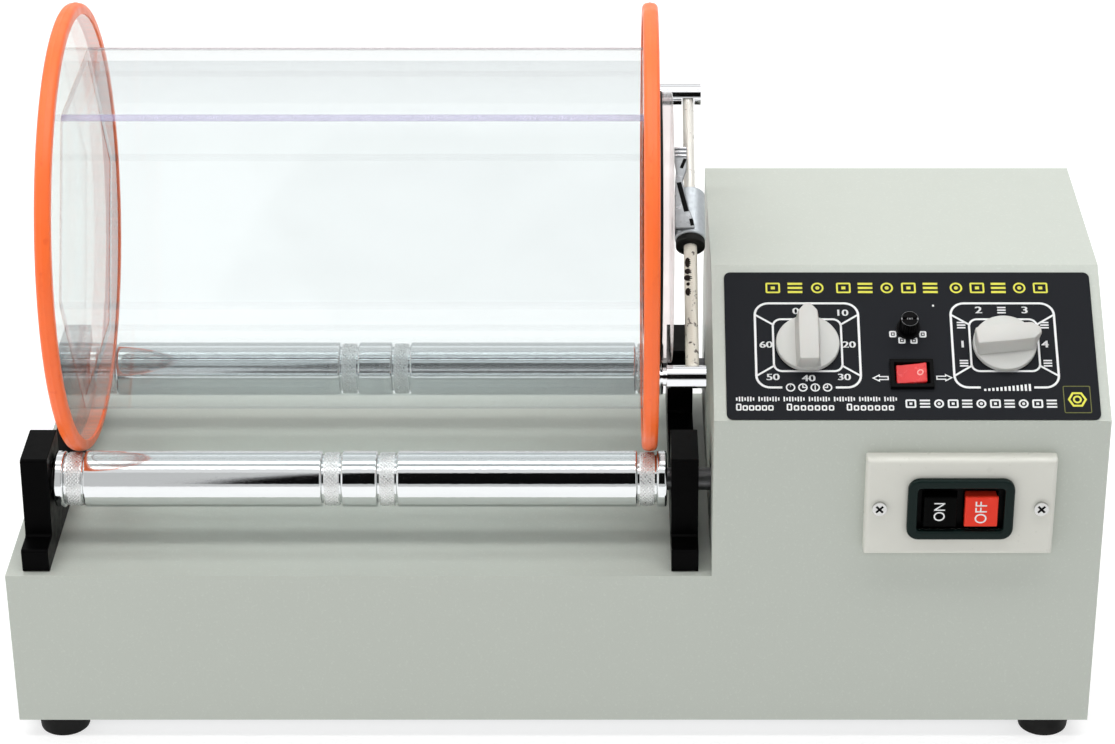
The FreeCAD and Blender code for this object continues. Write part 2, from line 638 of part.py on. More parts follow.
def motor():
    """The geared motor lying in the base, with its shaft, strap bracket, screws and capacitor."""
    start, length = "dim.motor_start", "dim.motor_length"
    end = f"({start} + {length})"
    can = [("dim.motor_shaft_radius + 0.3", start), ("12", start), ("12", f"{start} + 3"),
           ("dim.motor_radius - 2", f"{start} + 3"), ("dim.motor_radius", f"{start} + 6"),
           ("dim.motor_radius", f"{end} - 6"), ("dim.motor_radius - 3", end), ("0", end),
           ("0", f"{start} + 30"), ("dim.motor_shaft_radius + 0.3", f"{start} + 30")]
    sub_part(turned("motor_body", can), "motor_body", MOTOR_AXIS)
    shaft_start = "dim.drive_plane - dim.pulley_width / 2 - 1"
    shaft = [("0", shaft_start), ("dim.motor_shaft_radius", shaft_start),
             ("dim.motor_shaft_radius", f"{start} + 29.5"), ("0", f"{start} + 29.5")]
    sub_part(turned("motor_shaft", shaft), "motor_shaft", MOTOR_AXIS)

    cradle = new_body("motor_bracket")
    profile = sketch_on(cradle, "YZ_Plane", "cradle_profile", f"{start} + 25")
    floor = "dim.foot_height + 1"
    outline(profile, [("dim.motor_y - 44", floor), ("dim.motor_y + 44", floor),
                      ("dim.motor_y + 44", f"{floor} + 3"),
                      ("dim.motor_y + 30", f"{floor} + 3"), ("dim.motor_y + 30", "dim.motor_z - 6"),
                      ("dim.motor_y - 30", "dim.motor_z - 6"), ("dim.motor_y - 30", f"{floor} + 3"),
                      ("dim.motor_y - 44", f"{floor} + 3")])
    pad(cradle, profile, "40")
    seat = sketch_on(cradle, "YZ_Plane", "cradle_seat", f"{start} + 45")
    circle(seat, ("dim.motor_y", "dim.motor_z"), "dim.motor_radius")
    pocket(cradle, seat, "60")
    holes = sketch_on(cradle, "XY_Plane", "cradle_screw_holes", floor)
    for centre in MOTOR_SCREWS:
        circle(holes, centre, "2")
    pocket(cradle, holes, "10")
    sub_part(cradle, "motor_bracket")

    screws = []
    for across, depth in MOTOR_SCREWS:
        place = at(value(across), value(depth), value(floor) + 3)
        screws.append(screw(f"motor_screw_{len(screws) + 1}", "3.6", "2.4", "1.9", "4", place))
    sub_part(group("motor_screws", screws), "motor_screws")

    can = [("0", "0"), ("13", "0"), ("14", "1"), ("14", "50"), ("13", "51"), ("4", "51"), ("4", "56"),
           ("0", "56")]
    sub_part(turned("run_capacitor", can), "run_capacitor", at(-10, 58, 25.5, ALONG_X))


def terminal_block():
    """A moulded strip with six pairs of screw terminals."""
    body = new_body("terminal_block")
    strip = sketch_on(body, "XY_Plane", "terminal_strip")
    centred_rectangle(strip, ("0", "0"), "62", "20")
    pad(body, strip, "15")
    wells = sketch_on(body, "XY_Plane", "terminal_well", "15")
    for side in ("-5", "5"):
        circle(wells, ("-25", side), "3")
    first = pocket(body, wells, "6", side="One side")
    row = body.newObject("PartDesign::LinearPattern", "terminal_row")
    row.Originals = [first]
    row.Direction = (wells, ["H_Axis"])
    row.Length = 50
    row.Occurrences = 6
    body.Tip = row
    doc.recompute()
    sub_part(body, "terminal_block", at(-80, 55, 11))


def speed_transformer():
    """The tapped transformer that sets the motor's speed: a coil wrapped round a laminated core."""
    core = block("core", "56", "40", "48", at(-28, -20, 0))
    coil = block("coil", "34", "58", "30", at(-17, -29, 9))
    flange = block("core_foot", "80", "40", "2", at(-40, -20, 0))
    sub_part(fuse("speed_transformer", [core, coil, flange]), "speed_transformer", at(-60, -20, 11))


# ---------------------------------------------------------------- drum

def drum_panels():
    """Six flat clear panels with mitred edges, glued into a hexagonal barrel with a flat top."""
    panels = []
    apothem = "dim.hex_radius * cos(30)"
    start = value("dim.disc_left + dim.disc_sheet / 2")
    length = "dim.disc_right - dim.disc_left - dim.disc_sheet"
    for number in range(6):
        panel = doc.addObject("Part::Wedge", f"barrel_panel_{number + 1}")
        wide = "dim.hex_radius / 2 - dim.glue_line"
        narrow = f"({apothem} - dim.panel_sheet) * tan(30) - dim.glue_line"
        bind(panel, Xmin="0", X2min="0", Xmax=length, X2max=length, Ymin="0", Ymax="dim.panel_sheet",
             Zmin=f"-({wide})", Zmax=wide, Z2min=f"-({narrow})", Z2max=narrow)
        outwards = Rotation(Vector(1, 0, 0), 30 + 60 * number)
        facing = outwards.multiply(Rotation(Vector(1, 0, 0), 180))
        reach = outwards.multVec(Vector(0, value(apothem), 0))
        panel.Placement = Placement(Vector(start, 0, DRUM_Z) + reach, facing)
        panels.append(panel)
    sub_part(group("barrel_panels", panels), "barrel_panels")


def end_discs():
    """The closed left disc and the right disc with its round mouth and two blind post holes."""
    disc = new_body("end_disc_left")
    face = sketch_on(disc, "YZ_Plane", "left_disc_face")
    circle(face, ("0", "0"), "dim.disc_radius")
    pad(disc, face, "dim.disc_sheet", side="Symmetric")
    sub_part(disc, "end_disc_left", at(value("dim.disc_left"), 0, DRUM_Z))

    disc = new_body("end_disc_right")
    face = sketch_on(disc, "YZ_Plane", "right_disc_face")
    circle(face, ("0", "0"), "dim.disc_radius")
    circle(face, ("0", "0"), "dim.mouth_radius")
    pad(disc, face, "dim.disc_sheet", side="Symmetric")
    holes = sketch_on(disc, "YZ_Plane", "post_holes", "dim.disc_sheet / 2")
    for reach in ("-dim.pivot_reach", "dim.catch_reach"):
        circle(holes, (f"{reach} * cos(dim.clamp_angle)", f"{reach} * sin(dim.clamp_angle)"), "dim.rod_radius")
    pocket(disc, holes, "dim.disc_sheet - 1.5", side="One side")
    sub_part(disc, "end_disc_right", at(value("dim.disc_right"), 0, DRUM_Z))


def tyre(name, middle):
    """A rubber channel stretched over a disc's rim, with rounded shoulders."""
    half, side = "dim.tyre_width / 2", "dim.disc_sheet / 2"
    crown = "dim.tyre_radius"
    corners = [("dim.disc_radius", f"-{side}"), ("dim.tyre_lip", f"-{side}"), ("dim.tyre_lip", f"-{half}"),
               (f"{crown} - 1.2", f"-{half}"), (f"{crown} - 0.3", f"-{half} + 0.6"), (crown, f"-{half} + 1.6"),
               (crown, f"{half} - 1.6"), (f"{crown} - 0.3", f"{half} - 0.6"), (f"{crown} - 1.2", half),
               ("dim.tyre_lip", half), ("dim.tyre_lip", side), ("dim.disc_radius", side)]
    sub_part(turned(name, corners), name, on_drum(value(middle)))


def lid():
    """The clear round lid, its flat gasket and the pad that the clamp presses on."""
    outside = value("dim.disc_right + dim.disc_sheet / 2")
    gasket = ring_corners("dim.gasket_inner", "dim.lid_radius + 0.6", "0", "dim.gasket_sheet")
    sub_part(turned("lid_gasket", gasket), "lid_gasket", on_drum(outside))
    plate = [("0", "0"), ("dim.lid_radius - 0.5", "0"), ("dim.lid_radius", "0.5"),
             ("dim.lid_radius", "dim.lid_sheet - 0.5"), ("dim.lid_radius - 0.5", "dim.lid_sheet"),
             ("0", "dim.lid_sheet")]
    lid_face = outside + value("dim.gasket_sheet")
    sub_part(turned("lid", plate), "lid", on_drum(lid_face))
    button = [("0", "0"), ("dim.pad_radius", "0"), ("dim.pad_radius - 0.4", "dim.pad_height"),
              ("0", "dim.pad_height")]
    sub_part(turned("lid_pressure_pad", button), "lid_pressure_pad", on_drum(lid_face + value("dim.lid_sheet")))


def clamp_posts():
    """The slotted catch post and the pivot screw, both fixed in the right disc."""
    outside = value("dim.disc_right + dim.disc_sheet / 2")
    catch, pivot = value("dim.catch_reach"), value("dim.pivot_reach")
    stud = "dim.disc_sheet - 1.7"
    length = f"dim.post_end - {outside}"
    low = value(stud)
    post = fuse("catch_post_round", [
        cylinder("catch_stud", "dim.rod_radius", f"{stud} + 2.6", on_clamp(outside - low, catch, ALONG_X)),
        cylinder("catch_barrel", "dim.post_radius", f"{length} - 2.5",
                 on_clamp(outside + 2.5, catch, ALONG_X))])
    slot_width = value("dim.rod_tip_radius * 2 + 0.8")
    slot = block("catch_slot", f"{slot_width}", "10", "24", at(0, 0, 0))
    corner = Vector(-slot_width / 2, -value("dim.rod_tip_radius") - 0.4, -12)
    frame = on_clamp(value("dim.rod_x"), catch, ALONG_CLAMP)
    slot.Placement = frame.multiply(Placement(corner, UPRIGHT))
    sub_part(cut("clamp_catch_post", post, slot), "clamp_catch_post")

    screw_outline = [
        ("0", f"-({stud})"), ("dim.rod_radius", f"-({stud})"), ("dim.rod_radius", "0"), ("4.2", "0"),
        ("4.2", "1.3"), ("dim.rod_radius", "1.3"), ("dim.rod_radius", "2.4"), ("3.9", "2.4"), ("3.9", "3.9"),
        ("dim.rod_radius", "3.9"), ("dim.rod_radius", f"{length} - 2.4"), ("4", f"{length} - 2.4"),
        ("4", f"{length} - 0.4"), ("0", f"{length} - 0.4")]
    place = on_clamp(outside, -pivot, ALONG_X)
    sub_part(turned("clamp_pivot_screw", screw_outline), "clamp_pivot_screw", place)


def clamp_bar():
    """The bar that swings across the lid: pivot barrel, threaded rod with a plain tip, and black collar."""
    reach = value("dim.pivot_reach")
    start = value("dim.disc_right + dim.disc_sheet / 2") + 4.1
    length = f"dim.post_end - {start}"
    bore = "dim.rod_radius + dim.running_gap"
    barrel = turned("barrel_round", [
        (bore, "0"), ("dim.post_radius", "0"), ("dim.post_radius", length), ("4.3", length),
        ("4.3", f"{length} - 2.7"), (bore, f"{length} - 2.7")])
    barrel.Placement = on_clamp(start, -reach, ALONG_X)
    rod_place = on_clamp(value("dim.rod_x"), -reach + 4, ALONG_CLAMP)
    seat = cylinder("barrel_rod_seat", "dim.rod_radius", "8", rod_place)
    sub_part(cut("clamp_pivot_barrel", barrel, seat), "clamp_pivot_barrel")

    rod = turned("clamp_rod", [
        ("0", "-dim.pivot_reach + 4"), ("dim.rod_radius", "-dim.pivot_reach + 4"),
        ("dim.rod_radius", "dim.rod_step"),
        ("dim.rod_tip_radius", "dim.rod_step + 0.5"), ("dim.rod_tip_radius", "dim.rod_tip - 0.6"),
        ("dim.rod_tip_radius - 0.6", "dim.rod_tip"), ("0", "dim.rod_tip")])
    sub_part(rod, "clamp_rod", on_clamp(value("dim.rod_x"), 0, ALONG_CLAMP))

    top = "dim.sleeve_low - 0.2"
    collar = ring_corners("dim.rod_radius", "dim.sleeve_radius - 0.3", f"{top} - dim.collar_height", top)
    sub_part(turned("clamp_collar", collar), "clamp_collar", on_clamp(value("dim.rod_x"), 0, ALONG_CLAMP))


def clamp_cam():
    """The cam sleeve that turns on the rod, and the bent lever brazed to its lid side."""
    place = on_clamp(value("dim.rod_x"), 0, ALONG_CLAMP)
    bore = "dim.rod_radius + dim.running_gap"
    edge = "dim.sleeve_radius - 0.5"
    sleeve = [(bore, "dim.sleeve_low"), (edge, "dim.sleeve_low"), ("dim.sleeve_radius", "dim.sleeve_low + 0.5"),
              ("dim.sleeve_radius", "dim.sleeve_high - 0.5"), (edge, "dim.sleeve_high"),
              (bore, "dim.sleeve_high")]
    sub_part(turned("clamp_sleeve", sleeve), "clamp_sleeve", place)

    strip = new_body("lever_strip")
    side = sketch_on(strip, "XZ_Plane", "lever_side")
    outline(side, [("-7", "6.5"), ("-4", "6.5"), ("-4", "18"), ("-4.8", "24"), ("-3.4", "33"), ("-4.2", "39"),
                   ("-4", "dim.lever_tip"), ("-6.6", "dim.lever_tip"), ("-7", "38"), ("-5.6", "33"),
                   ("-7", "24")])
    pad(strip, side, "2 * dim.lever_half_width", side="Symmetric")
    saddle = cylinder("lever_saddle", "dim.sleeve_radius", "60", at(0, 0, -30))
    lever = cut("clamp_lever", strip, saddle)
    sub_part(lever, "clamp_lever", place)


# ---------------------------------------------------------------- control panel

def label_plate():
    """The thin rounded plate that carries the dial scales."""
    body = new_body("label_plate")
    face = sketch_on(body, "XY_Plane", "label_face")
    width = "dim.case_length / 2 - dim.housing_left"
    rectangle(face, ("dim.label_margin_left", "dim.label_low"),
              (f"{width} - dim.label_margin_right", "dim.label_high"))
    for across in ("dim.timer_x", "dim.speed_x"):
        circle(face, (across, "dim.dial_rise"), "4.5")
    circle(face, ("dim.fuse_x", "dim.fuse_rise"), "4.6")
    centred_rectangle(face, ("dim.rocker_x", "dim.rocker_rise"),
                      "dim.rocker_frame_x - 2", "dim.rocker_frame_y - 2")
    sheet = pad(body, face, "dim.label_sheet")
    right = value(f"{width} - dim.label_margin_right")
    left = value("dim.label_margin_left")

    def outer_corner(edge):
        upright = runs_along(Vector(0, 0, 1))(edge)
        return upright and min(abs(edge.BoundBox.XMin - left), abs(edge.BoundBox.XMin - right)) < 0.01

    soften(body, sheet, outer_corner, "2.8")
    sub_part(body, "label_plate", on_panel("0", "0"))


def knob(name, across, turn):
    """A round knob with a raised grip bar whose nose points at the scale, on its own spindle."""
    body = new_body(name)
    skirt = sketch_on(body, "XZ_Plane", f"{name}_skirt")
    outline(skirt, [("dim.spindle_radius", "0.5"), ("dim.knob_radius", "0.5"),
                    ("dim.knob_radius", "dim.knob_face - 0.6"), ("dim.knob_radius - 0.6", "dim.knob_face"),
                    ("dim.spindle_radius", "dim.knob_face")])
    revolve(body, skirt)
    bar = sketch_on(body, "XY_Plane", f"{name}_bar", "dim.knob_face - 0.5")
    half = "dim.knob_bar_width / 2"
    outline(bar, [(f"-{half}", "-dim.knob_radius + 0.4"), (half, "-dim.knob_radius + 0.4"),
                  (half, "dim.knob_radius - 1"), ("1.2", "dim.knob_nose"), ("-1.2", "dim.knob_nose"),
                  (f"-{half}", "dim.knob_radius - 1")])
    pad(body, bar, "dim.knob_bar - dim.knob_face + 0.5")
    sub_part(body, name, on_panel(across, "dim.dial_rise", value("dim.label_sheet"), turn))


def spindle(name, across):
    """The short steel spindle that joins a knob to the control behind the panel."""
    rod = [("0", "-8"), ("dim.spindle_radius", "-8"), ("dim.spindle_radius", "2.2"), ("0", "2.2")]
    sub_part(turned(name, rod), name, on_panel(across, "dim.dial_rise", value("dim.label_sheet")))


def panel_controls():
    """The timer, the stepped speed switch, and the fuse holder with its cap, behind and on the panel."""
    bore = "dim.spindle_radius + dim.running_gap"
    timer = new_body("timer_body")
    case = sketch_on(timer, "XY_Plane", "timer_case", "-2")
    centred_rectangle(case, ("0", "0"), "44", "40")
    circle(case, ("0", "0"), bore)
    pad(timer, case, "26", reverse=True)
    nose = sketch_on(timer, "XY_Plane", "timer_nose", "-2")
    circle(nose, ("0", "0"), "4.3")
    circle(nose, ("0", "0"), bore)
    pad(timer, nose, "2.6")
    sub_part(timer, "timer_body", on_panel("dim.timer_x", "dim.dial_rise"))

    wafer = [(bore, "-22"), ("19", "-22"), ("19", "-2"), ("4.3", "-2"), ("4.3", "0.6"), (bore, "0.6")]
    sub_part(turned("speed_switch_body", wafer), "speed_switch_body", on_panel("dim.speed_x", "dim.dial_rise"))

    place = on_panel("dim.fuse_x", "dim.fuse_rise")
    tube = [("2.9", "-24"), ("4.4", "-24"), ("4.4", "0.9"), ("5.2", "0.9"), ("5.2", "2.4"), ("2.9", "2.4")]
    sub_part(turned("fuse_holder", tube), "fuse_holder", place)
    head = turned("fuse_cap_round", [("0", "-4"), ("2.8", "-4"), ("2.8", "2.7"), ("3.9", "2.7"), ("3.9", "9.6"),
                                     ("3.4", "10"), ("0", "10")])
    slot = block("fuse_cap_slot", "9", "1", "3", at(-4.5, -0.5, 8.8))
    sub_part(cut("fuse_cap", head, slot), "fuse_cap", place)


def direction_rocker():
    """The bezel of the forward and reverse rocker, and the rocker that tilts in it."""
    place = on_panel("dim.rocker_x", "dim.rocker_rise")
    frame = new_body("rocker_frame")
    flange = sketch_on(frame, "XY_Plane", "rocker_flange", "dim.label_sheet")
    centred_rectangle(flange, ("0", "0"), "dim.rocker_frame_x", "dim.rocker_frame_y")
    centred_rectangle(flange, ("0", "0"), "dim.rocker_x_size + 1", "dim.rocker_y_size + 0.8")
    pad(frame, flange, "1.8")
    box = sketch_on(frame, "XY_Plane", "rocker_box", "dim.label_sheet")
    centred_rectangle(box, ("0", "0"), "dim.rocker_frame_x - 2.2", "dim.rocker_frame_y - 2.2")
    centred_rectangle(box, ("0", "0"), "dim.rocker_x_size + 1", "dim.rocker_y_size + 0.8")
    pad(frame, box, "14", reverse=True)
    sub_part(frame, "rocker_frame", place)

    rocker = new_body("direction_rocker")
    side = sketch_on(rocker, "XZ_Plane", "rocker_side")
    half = "dim.rocker_x_size / 2"
    outline(side, [(f"-{half} + 0.1", "1.2"), ("0", "2.2"), (f"{half} - 0.5", "4.0"), (f"{half} - 1.6", "-1.5"),
                   ("1.5", "-4.5"), ("-2.5", "-4.5"), (f"-{half} + 1.1", "-2.5")])
    pad(rocker, side, "dim.rocker_y_size", side="Symmetric")
    sub_part(rocker, "direction_rocker", place)


# ---------------------------------------------------------------- front switch

def switch():
    """The cream switch plate, dark bezel, the switch behind it, its two buttons and two screws."""
    place = on_front("dim.switch_x", "dim.switch_z")
    plate = new_body("switch_plate")
    face = sketch_on(plate, "XY_Plane", "plate_face")
    centred_rectangle(face, ("0", "0"), "dim.plate_length", "dim.plate_height")
    centred_rectangle(face, ("0", "0"), "dim.bezel_length - 4", "dim.bezel_height - 4")
    for side in ("-", ""):
        circle(face, (f"{side}dim.plate_screw_x", "0"), "1.95")
    slab = pad(plate, face, "dim.plate_proud")
    rim_z = value("dim.plate_proud")
    reach_x, reach_y = value("dim.plate_length / 2"), value("dim.plate_height / 2")

    def outer_rim(edge):
        box = edge.BoundBox
        at_front = abs(box.ZMin - rim_z) < 0.01 and abs(box.ZMax - rim_z) < 0.01
        far = max(abs(box.Center.x) - reach_x, abs(box.Center.y) - reach_y) > -0.01
        return at_front and far

    soften(plate, slab, outer_rim, "2.2")
    sub_part(plate, "switch_plate", place)

    bezel = new_body("switch_bezel")
    ring = sketch_on(bezel, "XY_Plane", "bezel_ring", "dim.plate_proud")
    opening = ("2 * dim.button_size + 3 * dim.button_gap + 2", "dim.button_size + dim.button_gap + 3.4")
    centred_rectangle(ring, ("0", "0"), "dim.bezel_length", "dim.bezel_height")
    centred_rectangle(ring, ("0", "0"), *opening)
    frame = pad(bezel, ring, "dim.bezel_proud")
    limit = value("dim.bezel_length / 2")

    def outer_corner(edge):
        return runs_along(Vector(0, 0, 1))(edge) and abs(abs(edge.BoundBox.XMin) - limit) < 0.01

    soften(bezel, frame, outer_corner, "5")
    sub_part(bezel, "switch_bezel", place)

    body = new_body("switch_body")
    box = sketch_on(body, "XY_Plane", "switch_box", "dim.plate_proud - 3")
    centred_rectangle(box, ("0", "0"), "dim.bezel_length - 5.4", "dim.bezel_height - 5.4")
    pad(body, box, "34", reverse=True)
    wells = sketch_on(body, "XY_Plane", "switch_wells", "dim.plate_proud - 3")
    shift = "(dim.button_size + dim.button_gap) / 2"
    for side in ("-", ""):
        centred_rectangle(wells, (f"{side}{shift}", "-dim.button_drop"),
                          "dim.button_size - 0.8", "dim.button_size - 0.8")
    pocket(body, wells, "8", side="One side")
    sub_part(body, "switch_body", place)

    for name, side in (("on_button", -1), ("off_button", 1)):
        button = new_body(name)
        face = sketch_on(button, "XY_Plane", f"{name}_face")
        centred_rectangle(face, ("0", "0"),
                          "dim.button_size - dim.button_gap", "dim.button_size - dim.button_gap")
        cap = pad(button, face, "2.4")
        soften(button, cap, lambda edge: edge.BoundBox.ZMin > 2.3, "0.6")
        stem = sketch_on(button, "XY_Plane", f"{name}_stem")
        centred_rectangle(stem, ("0", "0"), "dim.button_size - 2.6", "dim.button_size - 2.6")
        pad(button, stem, "6", reverse=True)
        middle = f"dim.switch_x + {side} * {shift}"
        sub_part(button, name, on_front(middle, "dim.switch_z - dim.button_drop", value("dim.button_rest")))

    screws = []
    for side in (-1, 1):
        spot = on_front(f"dim.switch_x + {side} * dim.plate_screw_x", "dim.switch_z", value("dim.plate_proud"))
        screws.append(screw(f"plate_screw_{len(screws) + 1}", "3.2", "1.6", "1.9", "14", spot))
    sub_part(group("switch_plate_screws", screws), "switch_plate_screws")


# ---------------------------------------------------------------- assembly

def build_all():
    case_shell()
    bottom_plate()
    feet()
    rear_cover()
    cord_gland()
    for name, left in (("bracket_left", "dim.bracket_left"), ("bracket_right", "dim.bracket_right")):
        bracket(name, left)
        bearings(name.replace("bracket", "bearings"), value(f"{left} + dim.bracket_width / 2"))
    bracket_screws()
    for name, side in (("front_roller", -1), ("rear_roller", 1)):
        roller_tube(f"{name}_tube", side)
        roller_shaft(f"{name}_shaft", side)
    pulleys()
    belts()
    motor()
    terminal_block()
    speed_transformer()
    drum_panels()
    end_discs()
    tyre("tyre_left", "dim.disc_left")
    tyre("tyre_right", "dim.disc_right")
    lid()
    clamp_posts()
    clamp_bar()
    clamp_cam()
    label_plate()
    knob("timer_knob", "dim.timer_x", 0)
    knob("speed_knob", "dim.speed_x", -83.5)
    spindle("timer_spindle", "dim.timer_x")
    spindle("speed_spindle", "dim.speed_x")
    panel_controls()
    direction_rocker()
    switch()


def export_all():
    """Check every object of the document, then write one STEP file for each sub-part."""
    doc.recompute()
    for item in doc.Objects:
        if "Invalid" in item.State or "Error" in item.State:
            raise RuntimeError(f"{item.Label}: {item.State}")
    os.makedirs("parts", exist_ok=True)
    for item in sub_parts:
        if item.Shape.isNull() or not item.Shape.isValid() or not item.Shape.Solids:
            raise RuntimeError(f"{item.Label}: bad shape")
        item.Shape.exportStep(os.path.join("parts", f"{item.Label}.step"))
        print(f"{item.Label}: {len(item.Shape.Solids)} solid(s), {item.Shape.Volume / 1000:.2f} cm3")
    print(f"{len(sub_parts)} sub-parts, drum axis at Z = {DRUM_Z:.3f}")


build_all()
export_all()
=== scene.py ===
"""Looks for the rotary rock tumbler: materials, printed panel, knurled rollers, threaded rod and studio."""

import json
from math import cos, pi, radians, sin, tan

import bmesh
import bpy
from mathutils import Matrix, Vector


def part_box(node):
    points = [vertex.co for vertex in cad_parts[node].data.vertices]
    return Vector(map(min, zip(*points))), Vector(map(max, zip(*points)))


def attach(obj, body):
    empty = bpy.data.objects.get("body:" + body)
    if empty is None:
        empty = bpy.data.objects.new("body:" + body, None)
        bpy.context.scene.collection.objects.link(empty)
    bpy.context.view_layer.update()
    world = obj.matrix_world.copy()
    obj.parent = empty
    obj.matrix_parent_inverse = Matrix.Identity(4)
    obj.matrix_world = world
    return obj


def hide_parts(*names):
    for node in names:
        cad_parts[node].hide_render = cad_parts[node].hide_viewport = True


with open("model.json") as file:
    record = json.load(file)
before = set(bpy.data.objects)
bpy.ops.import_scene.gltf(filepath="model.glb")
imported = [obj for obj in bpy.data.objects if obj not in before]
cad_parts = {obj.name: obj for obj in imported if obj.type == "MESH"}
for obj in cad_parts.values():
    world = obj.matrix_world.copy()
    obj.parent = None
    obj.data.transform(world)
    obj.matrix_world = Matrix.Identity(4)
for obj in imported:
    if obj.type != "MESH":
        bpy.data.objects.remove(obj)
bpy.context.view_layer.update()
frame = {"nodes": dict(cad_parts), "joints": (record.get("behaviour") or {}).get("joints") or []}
NODES = frame["nodes"]
JOINTS = {joint["name"]: joint for joint in frame["joints"]}
MM = 0.001


# ---------------- places read from the frame

def frame_matrix(origin, x_axis, y_axis, z_axis):
    """A matrix whose columns are three axes and an origin."""
    rows = [[x_axis[i], y_axis[i], z_axis[i], origin[i]] for i in range(3)]
    return Matrix(rows + [[0, 0, 0, 1]])


X_AXIS, Z_AXIS = Vector((1, 0, 0)), Vector((0, 0, 1))
DRUM_AXIS = Vector(JOINTS["drum_spin"]["pos_m"])
PANEL_NORMAL = Vector(JOINTS["timer_turn"]["axis"])
UP_SLOPE = PANEL_NORMAL.cross(X_AXIS)
TIMER_SPOT = Vector(JOINTS["timer_turn"]["pos_m"])
SPEED_SPOT = Vector(JOINTS["speed_turn"]["pos_m"])
CLAMP_LINE = Vector(JOINTS["clamp_cam_turn"]["axis"])


def panel_at(point):
    """Local Z out of the slanted panel, local Y up the slope, origin at a point on its face."""
    return frame_matrix(point, X_AXIS, UP_SLOPE, PANEL_NORMAL)


def along_x(point):
    """Local Z along +X, for round pieces on the rollers' and the drum's axes."""
    return frame_matrix(point, Vector((0, 1, 0)), Z_AXIS, X_AXIS)


def facing_front(point, depth):
    """Local Z towards the front, local Y up, at a point of the front view and a depth along Y."""
    return frame_matrix(Vector((point.x, depth, point.z)), X_AXIS, Z_AXIS, Vector((0, -1, 0)))


PLATE_LOW, PLATE_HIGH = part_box("switch_plate")
PLATE_MIDDLE = (PLATE_LOW + PLATE_HIGH) / 2
CASE_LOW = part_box("case_shell")[0]
FRONT = facing_front(PLATE_MIDDLE, CASE_LOW.y)


# ---------------- mesh helpers

def added(name, data):
    """A new object in the scene."""
    item = bpy.data.objects.new(name, data)
    bpy.context.scene.collection.objects.link(item)
    return item


def piece(name, bm, look, body, place, smooth):
    """Turn a bmesh into a named piece riding on a body; edges under the smooth angle are shaded round."""
    bmesh.ops.recalc_face_normals(bm, faces=bm.faces)
    bm.transform(place)
    mesh = bpy.data.meshes.new(name)
    bm.to_mesh(mesh)
    bm.free()
    for face in mesh.polygons:
        face.use_smooth = True
    mesh.set_sharp_from_angle(angle=radians(smooth))
    item = added(name, mesh)
    item.data.materials.append(MATERIALS[look])
    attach(item, body)
    return item


def rounded(corners, steps=5):
    """A closed outline whose corners (x, y, radius) are rounded with arcs."""
    points = []
    count = len(corners)
    for index, (x, y, radius) in enumerate(corners):
        here = Vector((x, y))
        before = Vector(corners[index - 1][:2]) - here
        after = Vector(corners[(index + 1) % count][:2]) - here
        if radius <= 0:
            points.append(here)
            continue
        before.normalize()
        after.normalize()
        half = before.angle(after) / 2
        reach = radius / tan(half)
        centre = here + (before + after).normalized() * (radius / sin(half))
        start = here + before * reach - centre
        end = here + after * reach - centre
        turn = start.angle_signed(end)
        for step in range(steps + 1):
            points.append(centre + Matrix.Rotation(-turn * step / steps, 2) @ start)
    return points


def rounded_rectangle(width, height, radius, steps=5):
    x, y = width / 2, height / 2
    return rounded([(-x, -y, radius), (x, -y, radius), (x, y, radius), (-x, y, radius)], steps)


def outline_turns_left(points):
    """True for a closed outline that runs anticlockwise."""
    pairs = zip(points[-1:] + points[:-1], points)
    return sum(before.x * point.y - point.x * before.y for before, point in pairs) > 0


def inset(points, distance):
    """The same closed outline moved inwards; it runs anticlockwise."""
    moved = []
    count = len(points)
    for index, point in enumerate(points):
        before = (point - points[index - 1]).normalized()
        after = (points[(index + 1) % count] - point).normalized()
        left_before = Vector((-before.y, before.x))
        left_after = Vector((-after.y, after.x))
        normal = (left_before + left_after).normalized()
        moved.append(point + normal * distance / max(normal.dot(left_before), 0.5))
    return moved


def add_ring(bm, points, height):
    return [bm.verts.new((point.x, point.y, height)) for point in points]


def bridge(bm, lower, upper):
    count = len(lower)
    for index in range(count):
        after = (index + 1) % count
        bm.faces.new((lower[index], lower[after], upper[after], upper[index]))


def bridge_all(bm, rings):
    """Join each ring to the next one."""
    for lower, upper in zip(rings, rings[1:]):
        bridge(bm, lower, upper)


def closed_stack(bm, rings):
    """Join each ring to the next one, and cap both ends."""
    bridge_all(bm, rings)
    bm.faces.new(rings[0][::-1])
    bm.faces.new(rings[-1])


def soft_prism(bm, outline, low, high, edge=0.0, bottom_edge=0.0):
    """A prism of an outline, with its top rim rounded over by edge, and its bottom rim by bottom_edge."""
    steps = 3
    rings = []
    if bottom_edge:
        for step in range(steps, 0, -1):
            angle = pi / 2 * step / steps
            drop = bottom_edge * (1 - cos(angle))
            rings.append(add_ring(bm, inset(outline, drop), low + bottom_edge * (1 - sin(angle))))
    rings.append(add_ring(bm, outline, low + bottom_edge))
    if edge:
        for step in range(steps + 1):
            angle = pi / 2 * step / steps
            rings.append(add_ring(bm, inset(outline, edge * (1 - cos(angle))),
                                  high - edge + edge * sin(angle)))
    else:
        rings.append(add_ring(bm, outline, high))
    closed_stack(bm, rings)


